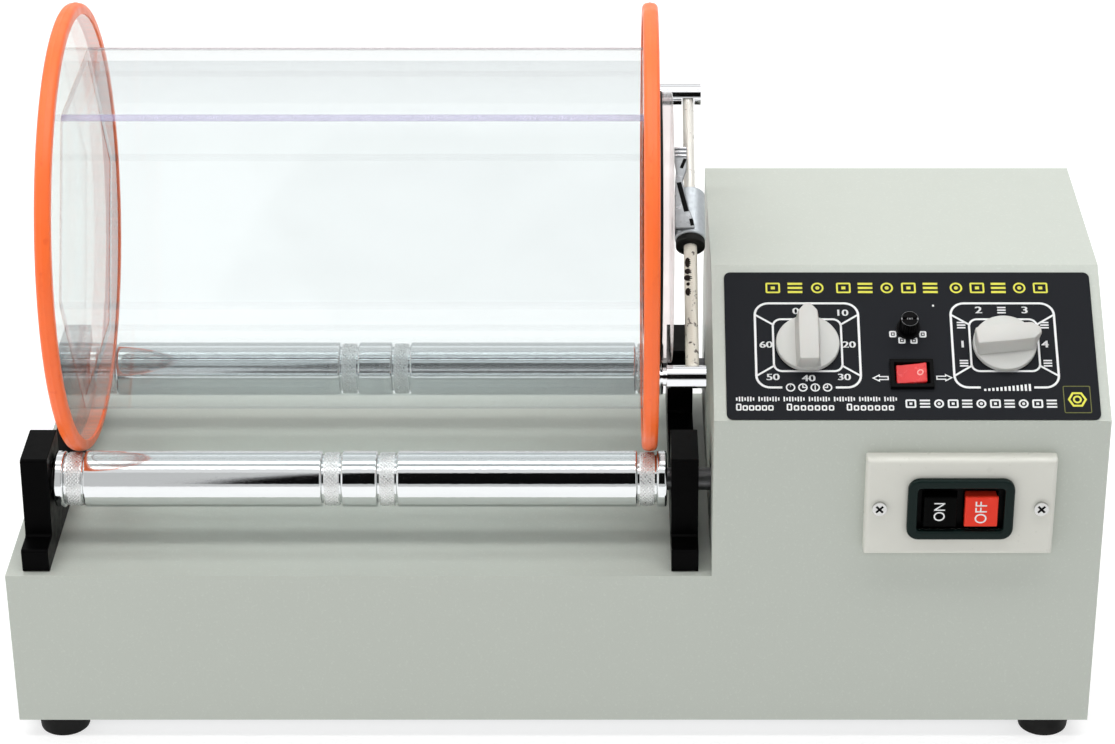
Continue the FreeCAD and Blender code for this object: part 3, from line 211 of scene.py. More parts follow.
def frame_prism(bm, outer, inner, low, high, edge, inner_edge):
    """A picture frame between two rounded rectangles (width, height, radius); both top rims are rounded."""
    steps = 4

    def outline(size, grow):
        width, height, radius = size
        return rounded_rectangle(width + 2 * grow, height + 2 * grow, max(radius + grow, 0.15 * MM), 6)

    outside = [add_ring(bm, outline(outer, 0), low)]
    inside = [add_ring(bm, outline(inner, 0), low)]
    for step in range(steps + 1):
        angle = pi / 2 * step / steps
        back, up = 1 - cos(angle), sin(angle) - 1
        outside.append(add_ring(bm, outline(outer, -edge * back), high + edge * up))
        inside.append(add_ring(bm, outline(inner, inner_edge * back), high + inner_edge * up))
    bridge_all(bm, outside)
    for lower, upper in zip(inside, inside[1:]):
        bridge(bm, upper, lower)
    bridge(bm, outside[-1], inside[-1])
    bridge(bm, inside[0], outside[0])


def lathe(bm, profile, segments):
    """Turn (radius, height) pairs about Z; the ends are joined, unless a radius of zero makes a point."""
    rings = []
    for radius, height in profile:
        if radius <= 1e-9:
            rings.append([bm.verts.new((0, 0, height))])
            continue
        ring = []
        for index in range(segments):
            angle = 2 * pi * index / segments
            ring.append(bm.verts.new((radius * cos(angle), radius * sin(angle), height)))
        rings.append(ring)
    pairs = list(zip(rings, rings[1:]))
    if len(rings[0]) > 1 and len(rings[-1]) > 1:
        pairs.append((rings[-1], rings[0]))
    for lower, upper in pairs:
        if len(lower) == len(upper):
            bridge(bm, lower, upper)
            continue
        for index in range(segments):
            after = (index + 1) % segments
            if len(lower) == 1:
                bm.faces.new((lower[0], upper[after], upper[index]))
            else:
                bm.faces.new((lower[index], lower[after], upper[0]))


def ribbon(bm, points, width, thick, closed=False):
    """A flat printed line of one width along points, standing a hair above the surface."""
    count = len(points)
    left, right = [], []
    for index, point in enumerate(points):
        before = points[index - 1] if closed or index else point
        after = points[(index + 1) % count] if closed or index < count - 1 else point
        along_before = (point - before).normalized()
        along_after = (after - point).normalized()
        side = Vector((-(along_before + along_after).y, (along_before + along_after).x)).normalized()
        lead = along_after if along_after.length else along_before
        stretch = max(side.dot(Vector((-lead.y, lead.x))), 0.5)
        left.append(point + side * width / 2 / stretch)
        right.append(point - side * width / 2 / stretch)
    for index in range(count if closed else count - 1):
        after = (index + 1) % count
        patch(bm, [left[index], left[after], right[after], right[index]], thick)


def loop_line(bm, points, width):
    """A closed printed line."""
    ribbon(bm, points, width, PRINT, closed=True)


def patch(bm, points, thick):
    """A thin flat solid with the given corners."""
    closed_stack(bm, [add_ring(bm, points, 0.0), add_ring(bm, points, thick)])


def circle(centre, radius, sides=24):
    angles = [radians(360 * side / sides) for side in range(sides)]
    return [Vector((centre[0] + radius * cos(a), centre[1] + radius * sin(a))) for a in angles]


def heading(degrees):
    return Vector((cos(radians(degrees)), sin(radians(degrees))))


def lettering(bm, text, size, centre, thick, turn=0.0, stretch=1.0, bold=0.0):
    """Add generic figures to a bmesh as thin raised shapes, centred on a point."""
    curve = bpy.data.curves.new("figure", "FONT")
    curve.body = text
    curve.size = size
    curve.align_x = curve.align_y = "CENTER"
    curve.extrude = thick / 2
    holder = bpy.data.objects.new("figure", curve)
    mesh = bpy.data.meshes.new_from_object(holder)
    place = Matrix.Translation((*centre, thick / 2)) @ Matrix.Rotation(turn, 4, "Z")
    place = place @ Matrix.Diagonal((stretch, 1, 1, 1))
    for shift in (-bold, bold) if bold else (0.0,):
        copy = mesh.copy()
        copy.transform(place @ Matrix.Translation((shift, 0, 0)))
        bm.from_mesh(copy)
        bpy.data.meshes.remove(copy)
    bpy.data.objects.remove(holder)
    bpy.data.curves.remove(curve)
    bpy.data.meshes.remove(mesh)


# ---------------- materials

class Look:
    """A Principled material with procedural detail in object space."""

    def __init__(self, name, color, roughness, metallic=0.0, **sockets):
        self.material = bpy.data.materials.new(name)
        self.material.use_nodes = True
        self.tree = self.material.node_tree
        self.shader = self.tree.nodes["Principled BSDF"]
        self.color = color
        self.set("Base Color", (*color, 1.0))
        self.set("Roughness", roughness)
        self.set("Metallic", metallic)
        for key, number in sockets.items():
            self.set(key.replace("_", " "), number)
        self.coordinates = self.node("ShaderNodeTexCoord").outputs["Object"]
        self.bump_end = None

    def set(self, socket, number):
        self.shader.inputs[socket].default_value = number

    def node(self, kind, **values):
        item = self.tree.nodes.new(kind)
        for key, number in values.items():
            item.inputs[key].default_value = number
        return item

    def link(self, source, target):
        self.tree.links.new(source, target)

    def noise(self, scale, detail=3.0, stretch=(1, 1, 1), distortion=0.0):
        """Noise whose scale counts features per metre, stretched along the axes if asked."""
        mapping = self.node("ShaderNodeMapping", Scale=stretch)
        self.link(self.coordinates, mapping.inputs["Vector"])
        noise = self.node("ShaderNodeTexNoise", Scale=scale, Detail=detail, Distortion=distortion)
        self.link(mapping.outputs["Vector"], noise.inputs["Vector"])
        return noise.outputs["Fac"]

    def ramp(self, source, black, white):
        """Black where source is below one number, white where it is above the other."""
        ramp = self.node("ShaderNodeValToRGB")
        elements = ramp.color_ramp.elements
        elements[0].position, elements[1].position = black, white
        self.link(source, ramp.inputs["Fac"])
        return ramp.outputs["Color"]

    def remap(self, source, low, high, start=0.3, end=0.7):
        values = {"From Min": start, "From Max": end, "To Min": low, "To Max": high}
        node = self.node("ShaderNodeMapRange", **values)
        self.link(source, node.inputs["Value"])
        return node.outputs["Result"]

    def maths(self, operation, first, second, clamp=False):
        """Combine a socket with a number or with another socket."""
        node = self.tree.nodes.new("ShaderNodeMath")
        node.operation = operation
        node.use_clamp = clamp
        self.link(first, node.inputs[0])
        if isinstance(second, (int, float)):
            node.inputs[1].default_value = second
        else:
            self.link(second, node.inputs[1])
        return node.outputs[0]

    def tint(self, source, other, share=1.0):
        """Blend the base colour so far towards another colour where source is high."""
        mix = self.tree.nodes.new("ShaderNodeMix")
        mix.data_type = "RGBA"
        color_in, other_in, color_out = mix.inputs[6], mix.inputs[7], mix.outputs[2]
        linked = self.shader.inputs["Base Color"].links
        if linked:
            self.link(linked[0].from_socket, color_in)
        else:
            color_in.default_value = (*self.color, 1)
        other_in.default_value = (*other, 1)
        self.link(self.maths("MULTIPLY", source, share), mix.inputs[0])
        self.link(color_out, self.shader.inputs["Base Color"])

    def roughen(self, source, low, high):
        self.link(self.remap(source, low, high), self.shader.inputs["Roughness"])

    def bump(self, source, height, strength):
        """Relief of a real height in metres."""
        bump = self.node("ShaderNodeBump", Distance=height, Strength=strength)
        self.link(source, bump.inputs["Height"])
        if self.bump_end is not None:
            self.link(self.bump_end, bump.inputs["Normal"])
        self.bump_end = bump.outputs["Normal"]
        self.link(self.bump_end, self.shader.inputs["Normal"])


def powder_coat():
    look = Look("case_powder_coat", (0.490, 0.520, 0.472), 0.42, Specular_IOR_Level=0.35)
    look.tint(look.noise(5, 4), (0.467, 0.497, 0.452), 0.6)
    look.tint(look.ramp(look.noise(900, 2), 0.60, 0.68), (0.60, 0.64, 0.58), 0.25)
    look.roughen(look.noise(60, 4), 0.36, 0.5)
    look.bump(look.noise(1100, 3), 0.00008, 0.5)
    look.bump(look.noise(14, 2), 0.0006, 0.25)
    return look.material


def chrome(name, color, rough_low, rough_high, stretch=(1, 1, 1)):
    look = Look(name, color, 0.06, metallic=1.0)
    look.tint(look.noise(30, 4, stretch), (0.70, 0.71, 0.73), 0.5)
    look.roughen(look.noise(160, 5, stretch), rough_low, rough_high)
    look.bump(look.noise(400, 3, stretch), 0.00002, 0.3)
    return look.material


def knurl_steel():
    look = Look("knurled_steel", (0.86, 0.87, 0.87), 0.3, metallic=0.9)
    look.tint(look.noise(500, 4), (0.60, 0.61, 0.61), 0.6)
    look.roughen(look.noise(900, 3), 0.22, 0.42)
    return look.material


def brushed(name, color, rough=0.35, stretch=(1, 12, 12)):
    look = Look(name, color, rough, metallic=1.0)
    look.tint(look.noise(90, 5, stretch), tuple(0.7 * c for c in color), 0.5)
    look.roughen(look.noise(200, 4, stretch), rough * 0.7, rough * 1.3)
    look.bump(look.noise(500, 3, stretch), 0.00003, 0.4)
    return look.material


def plastic(name, color, rough, speck=0.15, grain=0.00003, gloss=0.5, **sockets):
    look = Look(name, color, rough, Specular_IOR_Level=gloss, **sockets)
    look.tint(look.noise(60, 4), tuple(0.86 * c for c in color), 0.5)
    specks = look.ramp(look.noise(1500, 2), 0.6, 0.7)
    look.tint(specks, tuple(min(1, 1.15 * c) for c in color), speck)
    look.roughen(look.noise(250, 3), rough * 0.85, rough * 1.2)
    look.bump(look.noise(1800, 2), grain, 0.5)
    return look.material


def rubber(name, color, dark, rough=0.5, gloss=0.5):
    look = Look(name, color, rough, Subsurface_Weight=0.05, Specular_IOR_Level=gloss)
    look.set("Subsurface Radius", (0.004, 0.001, 0.0005))
    look.tint(look.noise(45, 5), dark, 0.35)
    look.tint(look.ramp(look.noise(260, 5, distortion=0.6), 0.62, 0.72), dark, 0.35)
    look.roughen(look.noise(120, 4), rough * 0.8, rough * 1.25)
    look.bump(look.noise(700, 4), 0.00008, 0.5)
    return look.material


def acrylic(name, tint, rough, smudge):
    """Clear sheet: a tinted see-through layer under a glossy skin that shows more at grazing angles."""
    look = Look(name, (0.93, 0.94, 0.95), rough, metallic=1.0)
    look.tint(look.noise(18, 4, (1, 3, 3), 1.0), (0.86, 0.86, 0.90), 0.5)
    look.roughen(look.noise(24, 5, (1, 3, 3), 1.5), rough, rough + 0.06)
    output = next(node for node in look.tree.nodes if node.type == "OUTPUT_MATERIAL")
    clear = look.tree.nodes.new("ShaderNodeBsdfTransparent")
    clear.inputs["Color"].default_value = (*tint, 1)
    slant = look.node("ShaderNodeLayerWeight", Blend=0.5).outputs["Facing"]
    steep = look.maths("POWER", slant, 5)
    marks = look.remap(look.noise(9, 6, (1, 2, 2), 2.0), 0.025, 0.025 + smudge, 0.45, 0.75)
    total = look.maths("ADD", steep, marks, clamp=True)
    mix = look.node("ShaderNodeMixShader")
    look.link(total, mix.inputs["Fac"])
    look.link(clear.outputs["BSDF"], mix.inputs[1])
    look.link(look.shader.outputs["BSDF"], mix.inputs[2])
    look.link(mix.outputs["Shader"], output.inputs["Surface"])
    return look.material


def film(name, color, pale, share):
    """A thin tinted layer that covers what is behind it by a share."""
    look = Look(name, color, 0.3, Alpha=share)
    look.tint(look.noise(130, 4, (1, 8, 8)), pale, 0.6)
    look.roughen(look.noise(90, 3), 0.2, 0.4)
    return look.material


def rod_metal():
    look = Look("threaded_rod", (0.84, 0.80, 0.71), 0.42, metallic=0.25)
    look.tint(look.ramp(look.noise(330, 5), 0.60, 0.66), (0.07, 0.045, 0.035), 0.9)
    look.roughen(look.noise(300, 3), 0.3, 0.5)
    return look.material


MATERIALS = {
    "paint": powder_coat(),
    "chrome": chrome("mirror_chrome", (0.86, 0.87, 0.89), 0.03, 0.12),
    "roller_chrome": chrome("roller_chrome", (0.81, 0.835, 0.84), 0.02, 0.07, (1, 10, 10)),
    "knurl": knurl_steel(),
    # Painted shade: this steel is darkened so that the shaft ends in the shaded gaps beside the brackets
    # read dark.
    "steel": brushed("turned_steel_darkened_as_shade", (0.16, 0.16, 0.165), 0.4),
    "screw": brushed("screw_steel", (0.62, 0.62, 0.61), 0.2, (3, 3, 3)),
    "zinc": brushed("zinc_sheet", (0.62, 0.64, 0.66), 0.38, (2, 6, 6)),
    "alloy": brushed("turned_alloy", (0.74, 0.75, 0.77), 0.3, (12, 1, 1)),
    "bracket": plastic("bracket_black", (0.0012, 0.0012, 0.0013), 0.34, 0.1, 0.00005, gloss=0.03),
    "label": plastic("label_black", (0.011, 0.0122, 0.015), 0.42, 0.2, 0.00002, gloss=0.06),
    "white_print": plastic("print_white", (0.78, 0.79, 0.79), 0.45, 0.05, gloss=0.2),
    "yellow_print": plastic("print_yellow", (0.74, 0.72, 0.09), 0.45, 0.05, gloss=0.1),
    "dark_yellow": plastic("print_olive", (0.16, 0.17, 0.05), 0.45, 0.05, gloss=0.1),
    "knob": plastic("knob_grey", (0.545, 0.54, 0.515), 0.36, 0.1, Subsurface_Weight=0.04),
    "cream": plastic("plate_cream", (0.65, 0.65, 0.595), 0.32, 0.03, 0.00001, gloss=0.4),
    "bezel": plastic("bezel_dark", (0.004, 0.012, 0.0105), 0.2, 0.1, 0.00001, gloss=0.12),
    "black_key": plastic("key_black", (0.0012, 0.0013, 0.0013), 0.3, 0.1, 0.00002, gloss=0.03),
    "red_key": plastic("key_red", (0.78, 0.035, 0.014), 0.35, 0.15, 0.00002, gloss=0.2,
                       Subsurface_Weight=0.06),
    "red_rocker": plastic("rocker_red", (0.70, 0.022, 0.024), 0.25, 0.15, 0.00002, Subsurface_Weight=0.1),
    "black": plastic("control_black", (0.002, 0.002, 0.0022), 0.38, 0.2, 0.00004, gloss=0.05),
    # A light grey painted highlight on the fuse cap's top rim.
    "fuse_rim_painted_highlight": plastic("fuse_rim_painted_highlight", (0.30, 0.31, 0.32), 0.3, 0.2),
    "grey_mark": plastic("grey_mark", (0.20, 0.205, 0.21), 0.45, 0.2),
    "pink_print": plastic("print_pink", (0.90, 0.42, 0.38), 0.4, 0.1),
    "rubber": rubber("black_rubber", (0.006, 0.006, 0.006), (0.014, 0.014, 0.013), 0.6, 0.12),
    "orange": rubber("orange_rubber", (1.0, 0.165, 0.022), (0.82, 0.085, 0.014), 0.36),
    "acrylic": acrylic("clear_acrylic", (0.950, 0.964, 0.965), 0.01, 0.015),
    "disc_acrylic": acrylic("disc_acrylic", (0.91, 0.93, 0.905), 0.02, 0.03),
    "lid_acrylic": acrylic("lid_acrylic", (0.90, 0.865, 0.86), 0.10, 0.03),
    # Glue lines along the barrel's edges; their violet and pink tints are painted edge reflections.
    "seam": film("glue_line", (0.30, 0.25, 0.50), (0.66, 0.64, 0.80), 0.33),
    "rear_seam": film("rear_glue_line", (0.56, 0.46, 0.49), (0.80, 0.72, 0.76), 0.25),
    "thin_seam": film("thin_glue_line", (0.62, 0.60, 0.68), (0.85, 0.84, 0.92), 0.03),
    # Pink rings at the discs are a painted reflection of the orange tyres.
    "joint": film("joint_painted_tyre_reflection", (0.90, 0.36, 0.27), (0.92, 0.66, 0.60), 0.20),
    "rod": rod_metal(),
    "rod_dark_spots": plastic("rod_spot_dark", (0.012, 0.007, 0.005), 0.6, 0.4, gloss=0.1),
    "rod_tip": plastic("plated_rod", (0.84, 0.82, 0.76), 0.3, 0.2, 0.00002, Metallic=0.35),
    "lever": brushed("lever_steel", (0.30, 0.31, 0.32), 0.34, (3, 3, 3)),
    "satin": brushed("satin_chrome", (0.58, 0.62, 0.65), 0.46, (3, 3, 3)),
    "motor": plastic("motor_paint", (0.09, 0.11, 0.13), 0.4, 0.2),
    "iron": brushed("laminated_iron", (0.30, 0.27, 0.24), 0.45, (1, 30, 1)),
    "white_part": plastic("white_moulding", (0.78, 0.78, 0.75), 0.4),
}

CAD_LOOKS = {
    "paint": ["case_shell", "rear_cover"],
    "zinc": ["bottom_plate", "motor_bracket"],
    "rubber": ["feet", "cord_gland", "lid_gasket", "clamp_collar", "drive_belt", "transfer_belt"],
    "screw": ["foot_screws", "cover_screws", "bracket_screws", "motor_screws", "switch_plate_screws"],
    "bracket": ["bracket_left", "bracket_right"],
    "steel": ["bearings_left", "bearings_right", "front_roller_shaft", "rear_roller_shaft", "motor_shaft",
              "timer_spindle", "speed_spindle"],
    "alloy": ["front_roller_pulley", "rear_roller_pulley", "motor_pulley"],
    "motor": ["motor_body"],
    "white_part": ["run_capacitor", "terminal_block"],
    "iron": ["speed_transformer"],
    "disc_acrylic": ["end_disc_left", "end_disc_right"],
    "lid_acrylic": ["lid"],
    "chrome": ["lid_pressure_pad", "clamp_catch_post", "clamp_pivot_screw", "clamp_pivot_barrel"],
    "satin": ["clamp_sleeve"],
    "label": ["label_plate"],
    "black": ["timer_body", "speed_switch_body", "fuse_holder", "fuse_cap", "rocker_frame", "switch_body"],
    "black_key": ["on_button"],
    "red_key": ["off_button"],
}

# How wide a rounded rim each carried-over node gets, in millimetres.
SOFT_RIMS = {
    0.9: ["case_shell", "feet"],
    0.5: ["bracket_left", "bracket_right", "lid"],
    0.4: ["clamp_catch_post", "clamp_pivot_barrel", "end_disc_left", "end_disc_right"],
    0.3: ["rear_cover", "clamp_sleeve", "clamp_collar", "fuse_cap", "rocker_frame", "on_button",
          "off_button", "cord_gland", "lid_gasket"],
    0.2: ["cover_screws", "switch_plate_screws"],
    0.15: ["label_plate"],
}


def soften(item, width):
    """Join the facets of flat faces, then round every sharp rim by a width."""
    weld = item.modifiers.new("weld", "WELD")
    weld.merge_threshold = 0.01 * MM
    whole = item.modifiers.new("whole_faces", "DECIMATE")
    whole.decimate_type = "DISSOLVE"
    whole.angle_limit = radians(0.3)
    bevel = item.modifiers.new("rim", "BEVEL")
    bevel.width = width
    bevel.segments = 3
    bevel.limit_method = "ANGLE"
    bevel.angle_limit = radians(40)
    weights = item.modifiers.new("true_normals", "WEIGHTED_NORMAL")
    weights.keep_sharp = True
    weights.weight = 100


def dress_cad_nodes():
    """Give every carried-over node its material, and the larger ones a rim that catches the light."""
    for look, names in CAD_LOOKS.items():
        for name in names:
            materials = NODES[name].data.materials
            materials.clear()
            materials.append(MATERIALS[look])
    for width, names in SOFT_RIMS.items():
        for name in names:
            soften(NODES[name], width * MM)


# ---------------- rollers

ROLLER_RADIUS = 12.5 * MM
BAND_RADIUS = 12.0 * MM
BAND_WIDTH = 8.4 * MM
BAND_MIDDLES = (-211.1 * MM, -97.4 * MM, -72.9 * MM, 41.8 * MM)
GROOVE = 0.85 * MM
KNURL_PITCH = 1.6 * MM
KNURL_COUNT = 44
KNURL_HEIGHT = 0.42 * MM
# Drops below the full radius and distances from the edge, in millimetres: beside a band, and at an end.
COLLAR = ((0, 1.0), (0, 0.9), (0.10, 0.55), (0.45, 0.2), (1.0, 0))
END_RIM = ((1.0, 0), (0.25, 0.3), (0, 1.0), (0, 1.1))


def triangle_wave(number):
    return abs((number % 1.0) * 2 - 1)


def carved_rings(bm, low, high, rows, columns, radius_at):
    """The rings of a round bar whose radius changes from row to row and from column to column."""
    rings = []
    for row in range(rows + 1):
        height = low + (high - low) * row / rows
        ring = []
        for column in range(columns):
            angle = 2 * pi * column / columns
            radius = radius_at(row, column)
            ring.append(bm.verts.new((radius * cos(angle), radius * sin(angle), height)))
        rings.append(ring)
    return rings


def knurl_band(bm, low, high):
    """A band of small pyramids: two crossing helical cuts in the metal."""
    rows = round((high - low) / KNURL_PITCH * 4)

    def radius_at(row, column):
        across, along = column / 4, row / 4
        edge = min(row, rows - row, 2) / 2
        ridge = min(triangle_wave(across + along), triangle_wave(across - along))
        return BAND_RADIUS - KNURL_HEIGHT * (1 - ridge * edge)

    rings = carved_rings(bm, low, high, rows, KNURL_COUNT * 4, radius_at)
    bridge_all(bm, rings)
    inner = BAND_RADIUS - 2 * MM
    for ring, height in ((rings[0], low), (rings[-1], high)):
        core = [bm.verts.new((inner * v.co.x / v.co.xy.length, inner * v.co.y / v.co.xy.length, height))
                for v in ring]
        if height == low:
            bridge(bm, core, ring)
            first_core = core
        else:
            bridge(bm, ring, core)
            bridge(bm, core, first_core)


def roller(name, node, body):
    """The polished tube with its chamfered collars, and the knurled bands let into it."""
    low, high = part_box(node)
    centre = (low + high) / 2
    place = along_x(Vector((0, centre.y, centre.z)))
    edges = [(spot - BAND_WIDTH / 2, spot + BAND_WIDTH / 2) for spot in BAND_MIDDLES]
    full, cut, bore = ROLLER_RADIUS, BAND_RADIUS - 1.5 * MM, 5.2 * MM
    profile = [(bore, low.x)] + [(full - drop * MM, low.x + away * MM) for drop, away in END_RIM]
    for start, end in edges:
        profile += [(full - drop * MM, start - away * MM) for drop, away in COLLAR]
        profile += [(cut, start), (cut, end)]
        profile += [(full - drop * MM, end + away * MM) for drop, away in reversed(COLLAR)]
    profile += [(full - drop * MM, high.x - away * MM) for drop, away in reversed(END_RIM)]
    profile.append((bore, high.x))
    bm = bmesh.new()
    lathe(bm, profile, 128)
    tube = piece(f"{name}_tube_chromed", bm, "roller_chrome", body, place, 30)
    bm = bmesh.new()
    for start, end in edges:
        knurl_band(bm, start + GROOVE, end - GROOVE)
    knurl = piece(f"{name}_knurling", bm, "knurl", body, place, 20)
    for item in (tube, knurl):
        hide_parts(node)


# ---------------- drum

def tyre(name, node):
    """The rubber channel: rounded shoulders, thin lips that grip the disc, a moulding line on the crown."""
    low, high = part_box(node)
    outer = high.z - DRUM_AXIS.z
    half = (high.x - low.x) / 2
    disc_low, disc_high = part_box(node.replace("tyre", "end_disc"))
    side = (disc_high.x - disc_low.x) / 2
    seat = disc_high.z - DRUM_AXIS.z
    lip = seat - 1.0 * MM
    skin = 0.05 * MM
    crown = 0.35 * MM
    left = [(seat, -side - skin, 0), (lip, -side - skin, 0.15 * MM), (lip, -half, 0.25 * MM),
            (outer - crown, -half, 2.2 * MM), (outer, -0.4 * MM, 0), (outer + 0.15 * MM, -0.15 * MM, 0)]
    right = [(radius, -along, corner) for radius, along, corner in reversed(left)]
    profile = rounded(left + right, 6)
    bm = bmesh.new()
    lathe(bm, [(point.x, point.y) for point in profile], 224)
    place = along_x(Vector(((low.x + high.x) / 2, DRUM_AXIS.y, DRUM_AXIS.z)))
    item = piece(name, bm, "orange", "drum", place, 50)
    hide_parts(node)


HEX_RADIUS = 80.4 * MM
SHEET = 5.0 * MM
DISC_GAP = 0.25 * MM
JOINT_THICKNESS = 0.1 * MM
# A thin chevron that wraps a 120 degree edge: across is the radius, up is round the barrel.
SEAM_OUTLINE = [Vector(point) for point in
                ((-0.95, -1.75), (-0.83, -1.80), (0.16, 0.0), (-0.83, 1.80), (-0.95, 1.75), (0.04, 0.0))]
# Each glue line piece, its tint a painted edge reflection that is strongest on the front edge: its name,
# its look, and the numbers of the hexagon's edges that carry it.
GLUE_LINES_AND_EDGE_REFLECTIONS = (
    ("barrel_glue_line_front", "seam", (2,)),
    ("barrel_glue_line_rear", "rear_seam", (1,)),
    ("barrel_glue_lines", "thin_seam", (0, 3, 4, 5)),
)


def hexagon(radius, corner):
    return rounded([(spot.x, spot.y, corner) for spot in circle((0, 0), radius, 6)], 2)


def hexagon_ring(bm, outer, inner, low, high):
    """A hexagonal tube between two heights, open through the middle."""
    outside = [add_ring(bm, outer, low), add_ring(bm, outer, high)]
    inside = [add_ring(bm, inner, low), add_ring(bm, inner, high)]
    bridge(bm, outside[0], outside[1])
    bridge(bm, inside[1], inside[0])
    bridge(bm, outside[1], inside[1])
    bridge(bm, inside[0], outside[0])


def barrel():
    """The clear tube with its softened edges, its glue lines tinted as painted edge reflections, and thin
    rings against both discs tinted pink as a painted reflection of the orange tyres.
    """
    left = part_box("end_disc_left")[1].x
    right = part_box("end_disc_right")[0].x
    place = along_x(Vector((0, DRUM_AXIS.y, DRUM_AXIS.z)))
    inner_radius = HEX_RADIUS - SHEET / cos(radians(30))
    outer, inner = hexagon(HEX_RADIUS, 0.12 * MM), hexagon(inner_radius, 0.12 * MM)
    bm = bmesh.new()
    hexagon_ring(bm, outer, inner, left + DISC_GAP, right - DISC_GAP)
    tube = piece("barrel_clear_tube", bm, "acrylic", "drum", place, 20)
    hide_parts("barrel_panels")

    # Glue lines tinted violet at the front and pink at the rear as painted edge reflections.
    for name, look, numbers in GLUE_LINES_AND_EDGE_REFLECTIONS:
        bm = bmesh.new()
        for number in numbers:
            turn = Matrix.Rotation(radians(60 * number), 2)
            outline = [turn @ (point * MM + Vector((HEX_RADIUS, 0))) for point in SEAM_OUTLINE]
            soft_prism(bm, outline, left + DISC_GAP, right - DISC_GAP)
        piece(name, bm, look, "drum", place, 60)
    # Thin rings at both discs, tinted pink as a painted reflection of the orange tyres.
    bm = bmesh.new()
    for low in (left + 0.06 * MM, right - 0.16 * MM):
        hexagon_ring(bm, outer, inner, low, low + JOINT_THICKNESS)
    joints = piece("barrel_joints_painted_tyre_reflection", bm, "joint", "drum", place, 60)


# ---------------- lid clamp

ROD_RADIUS = 3.0 * MM
ROD_TIP_RADIUS = 2.5 * MM
THREAD_PITCH = 1.0 * MM
THREAD_DEPTH = 0.45 * MM
# Heights along the clamp bar, counted from the lever's joint: foot, end of the thread, top.
ROD_FOOT, ROD_STEP, ROD_TOP = -75 * MM, 19.5 * MM, 78.5 * MM
# Height on the bar, width and height of each dark spot on the front left of the thread, in millimetres.
DARK_SPOTS_ON_ROD = (
    (-20.7, 2.6, 5.4), (-25.4, 3.0, 3.0), (-28.9, 3.8, 3.2), (-32.2, 1.8, 1.8),
    (-36.3, 2.6, 4.2),
)


def clamp_place():
    """Local Z runs up the clamp bar, local X along the machine's X."""
    origin = Vector(JOINTS["clamp_cam_turn"]["pos_m"])
    return frame_matrix(origin, X_AXIS, CLAMP_LINE.cross(X_AXIS), CLAMP_LINE)


def clamp_rod():
    """The bar: a real helical thread on its lower half, and a plain polished tip."""
    columns = 20
    rows = round((ROD_STEP - ROD_FOOT) / THREAD_PITCH * 4)

    def radius_at(row, column):
        fade = min(row, rows - row, 4) / 4
        groove = triangle_wave(row / 4 + column / columns)
        return ROD_RADIUS - THREAD_DEPTH * (1 - groove) * fade

    bm = bmesh.new()
    closed_stack(bm, carved_rings(bm, ROD_FOOT, ROD_STEP, rows, columns, radius_at))
    threaded = piece("clamp_rod_thread", bm, "rod", "clamp_bar", clamp_place(), 25)
    bm = bmesh.new()
    foot, fine = ROD_STEP - 1 * MM, 0.6 * MM
    lathe(bm, [(0, foot), (ROD_TIP_RADIUS, foot), (ROD_TIP_RADIUS, ROD_TOP - fine),
               (ROD_TIP_RADIUS - 0.18 * MM, ROD_TOP - 0.2 * MM), (ROD_TIP_RADIUS - fine, ROD_TOP),
               (0, ROD_TOP)], 48)
    plain = piece("clamp_rod_tip", bm, "rod_tip", "clamp_bar", clamp_place(), 30)
    for item in (threaded, plain):
        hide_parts("clamp_rod")
    bm = bmesh.new()
    for height, across, tall in DARK_SPOTS_ON_ROD:
        spot = Matrix.Translation(Vector((-1.3, -2.6, height)) * MM)
        spot = spot @ Matrix.Diagonal((across, 0.6, tall, 1))
        bmesh.ops.create_uvsphere(bm, u_segments=20, v_segments=10, radius=MM / 2, matrix=spot)
    rod_dark_spots = piece("clamp_rod_dark_spots", bm, "rod_dark_spots", "clamp_bar", clamp_place(), 60)


# The lever in its front view, in millimetres: corners (x, height, radius), slots drawn as strips of painted
# shade (x, height, x, height, width) and the heights of its ribs.
LEVER_OUTLINE = (
    (-6.6, -5.6, 0.8), (2.0, -5.6, 0.8), (1.4, -1.2, 2.0), (-0.5, 5.0, 4.0),
    (-2.4, 15.5, 4.0), (-3.2, 20.5, 2.5), (-1.3, 27.0, 2.0), (-0.9, 39.4, 1.0),
    (-6.8, 39.4, 1.0), (-6.9, 33.0, 2.0), (-6.1, 26.5, 3.0), (-6.5, 20.5, 3.0),
    (-6.8, 12.0, 4.0), (-6.9, 0.0, 3.0),
)
LEVER_SLOTS = ((-1.9, 32.4, -3.7, 27.2, 1.5), (-4.9, 19.3, -1.7, 3.4, 2.2), (0.2, -0.6, 0.8, -4.3, 1.6))
LEVER_RIBS = (38.3, 36.2, 34.1)


def strip(bm, start, end, width, low, high, edge):
    """A bar between two points of the front view, with its rim softened."""
    start, end = Vector(start) * MM, Vector(end) * MM
    side = (end - start).orthogonal().normalized() * width * MM / 2
    outline = [start - side, start + side, end + side, end - side]
    if not outline_turns_left(outline):
        outline.reverse()
    soft_prism(bm, outline, low * MM, high * MM, edge * MM)


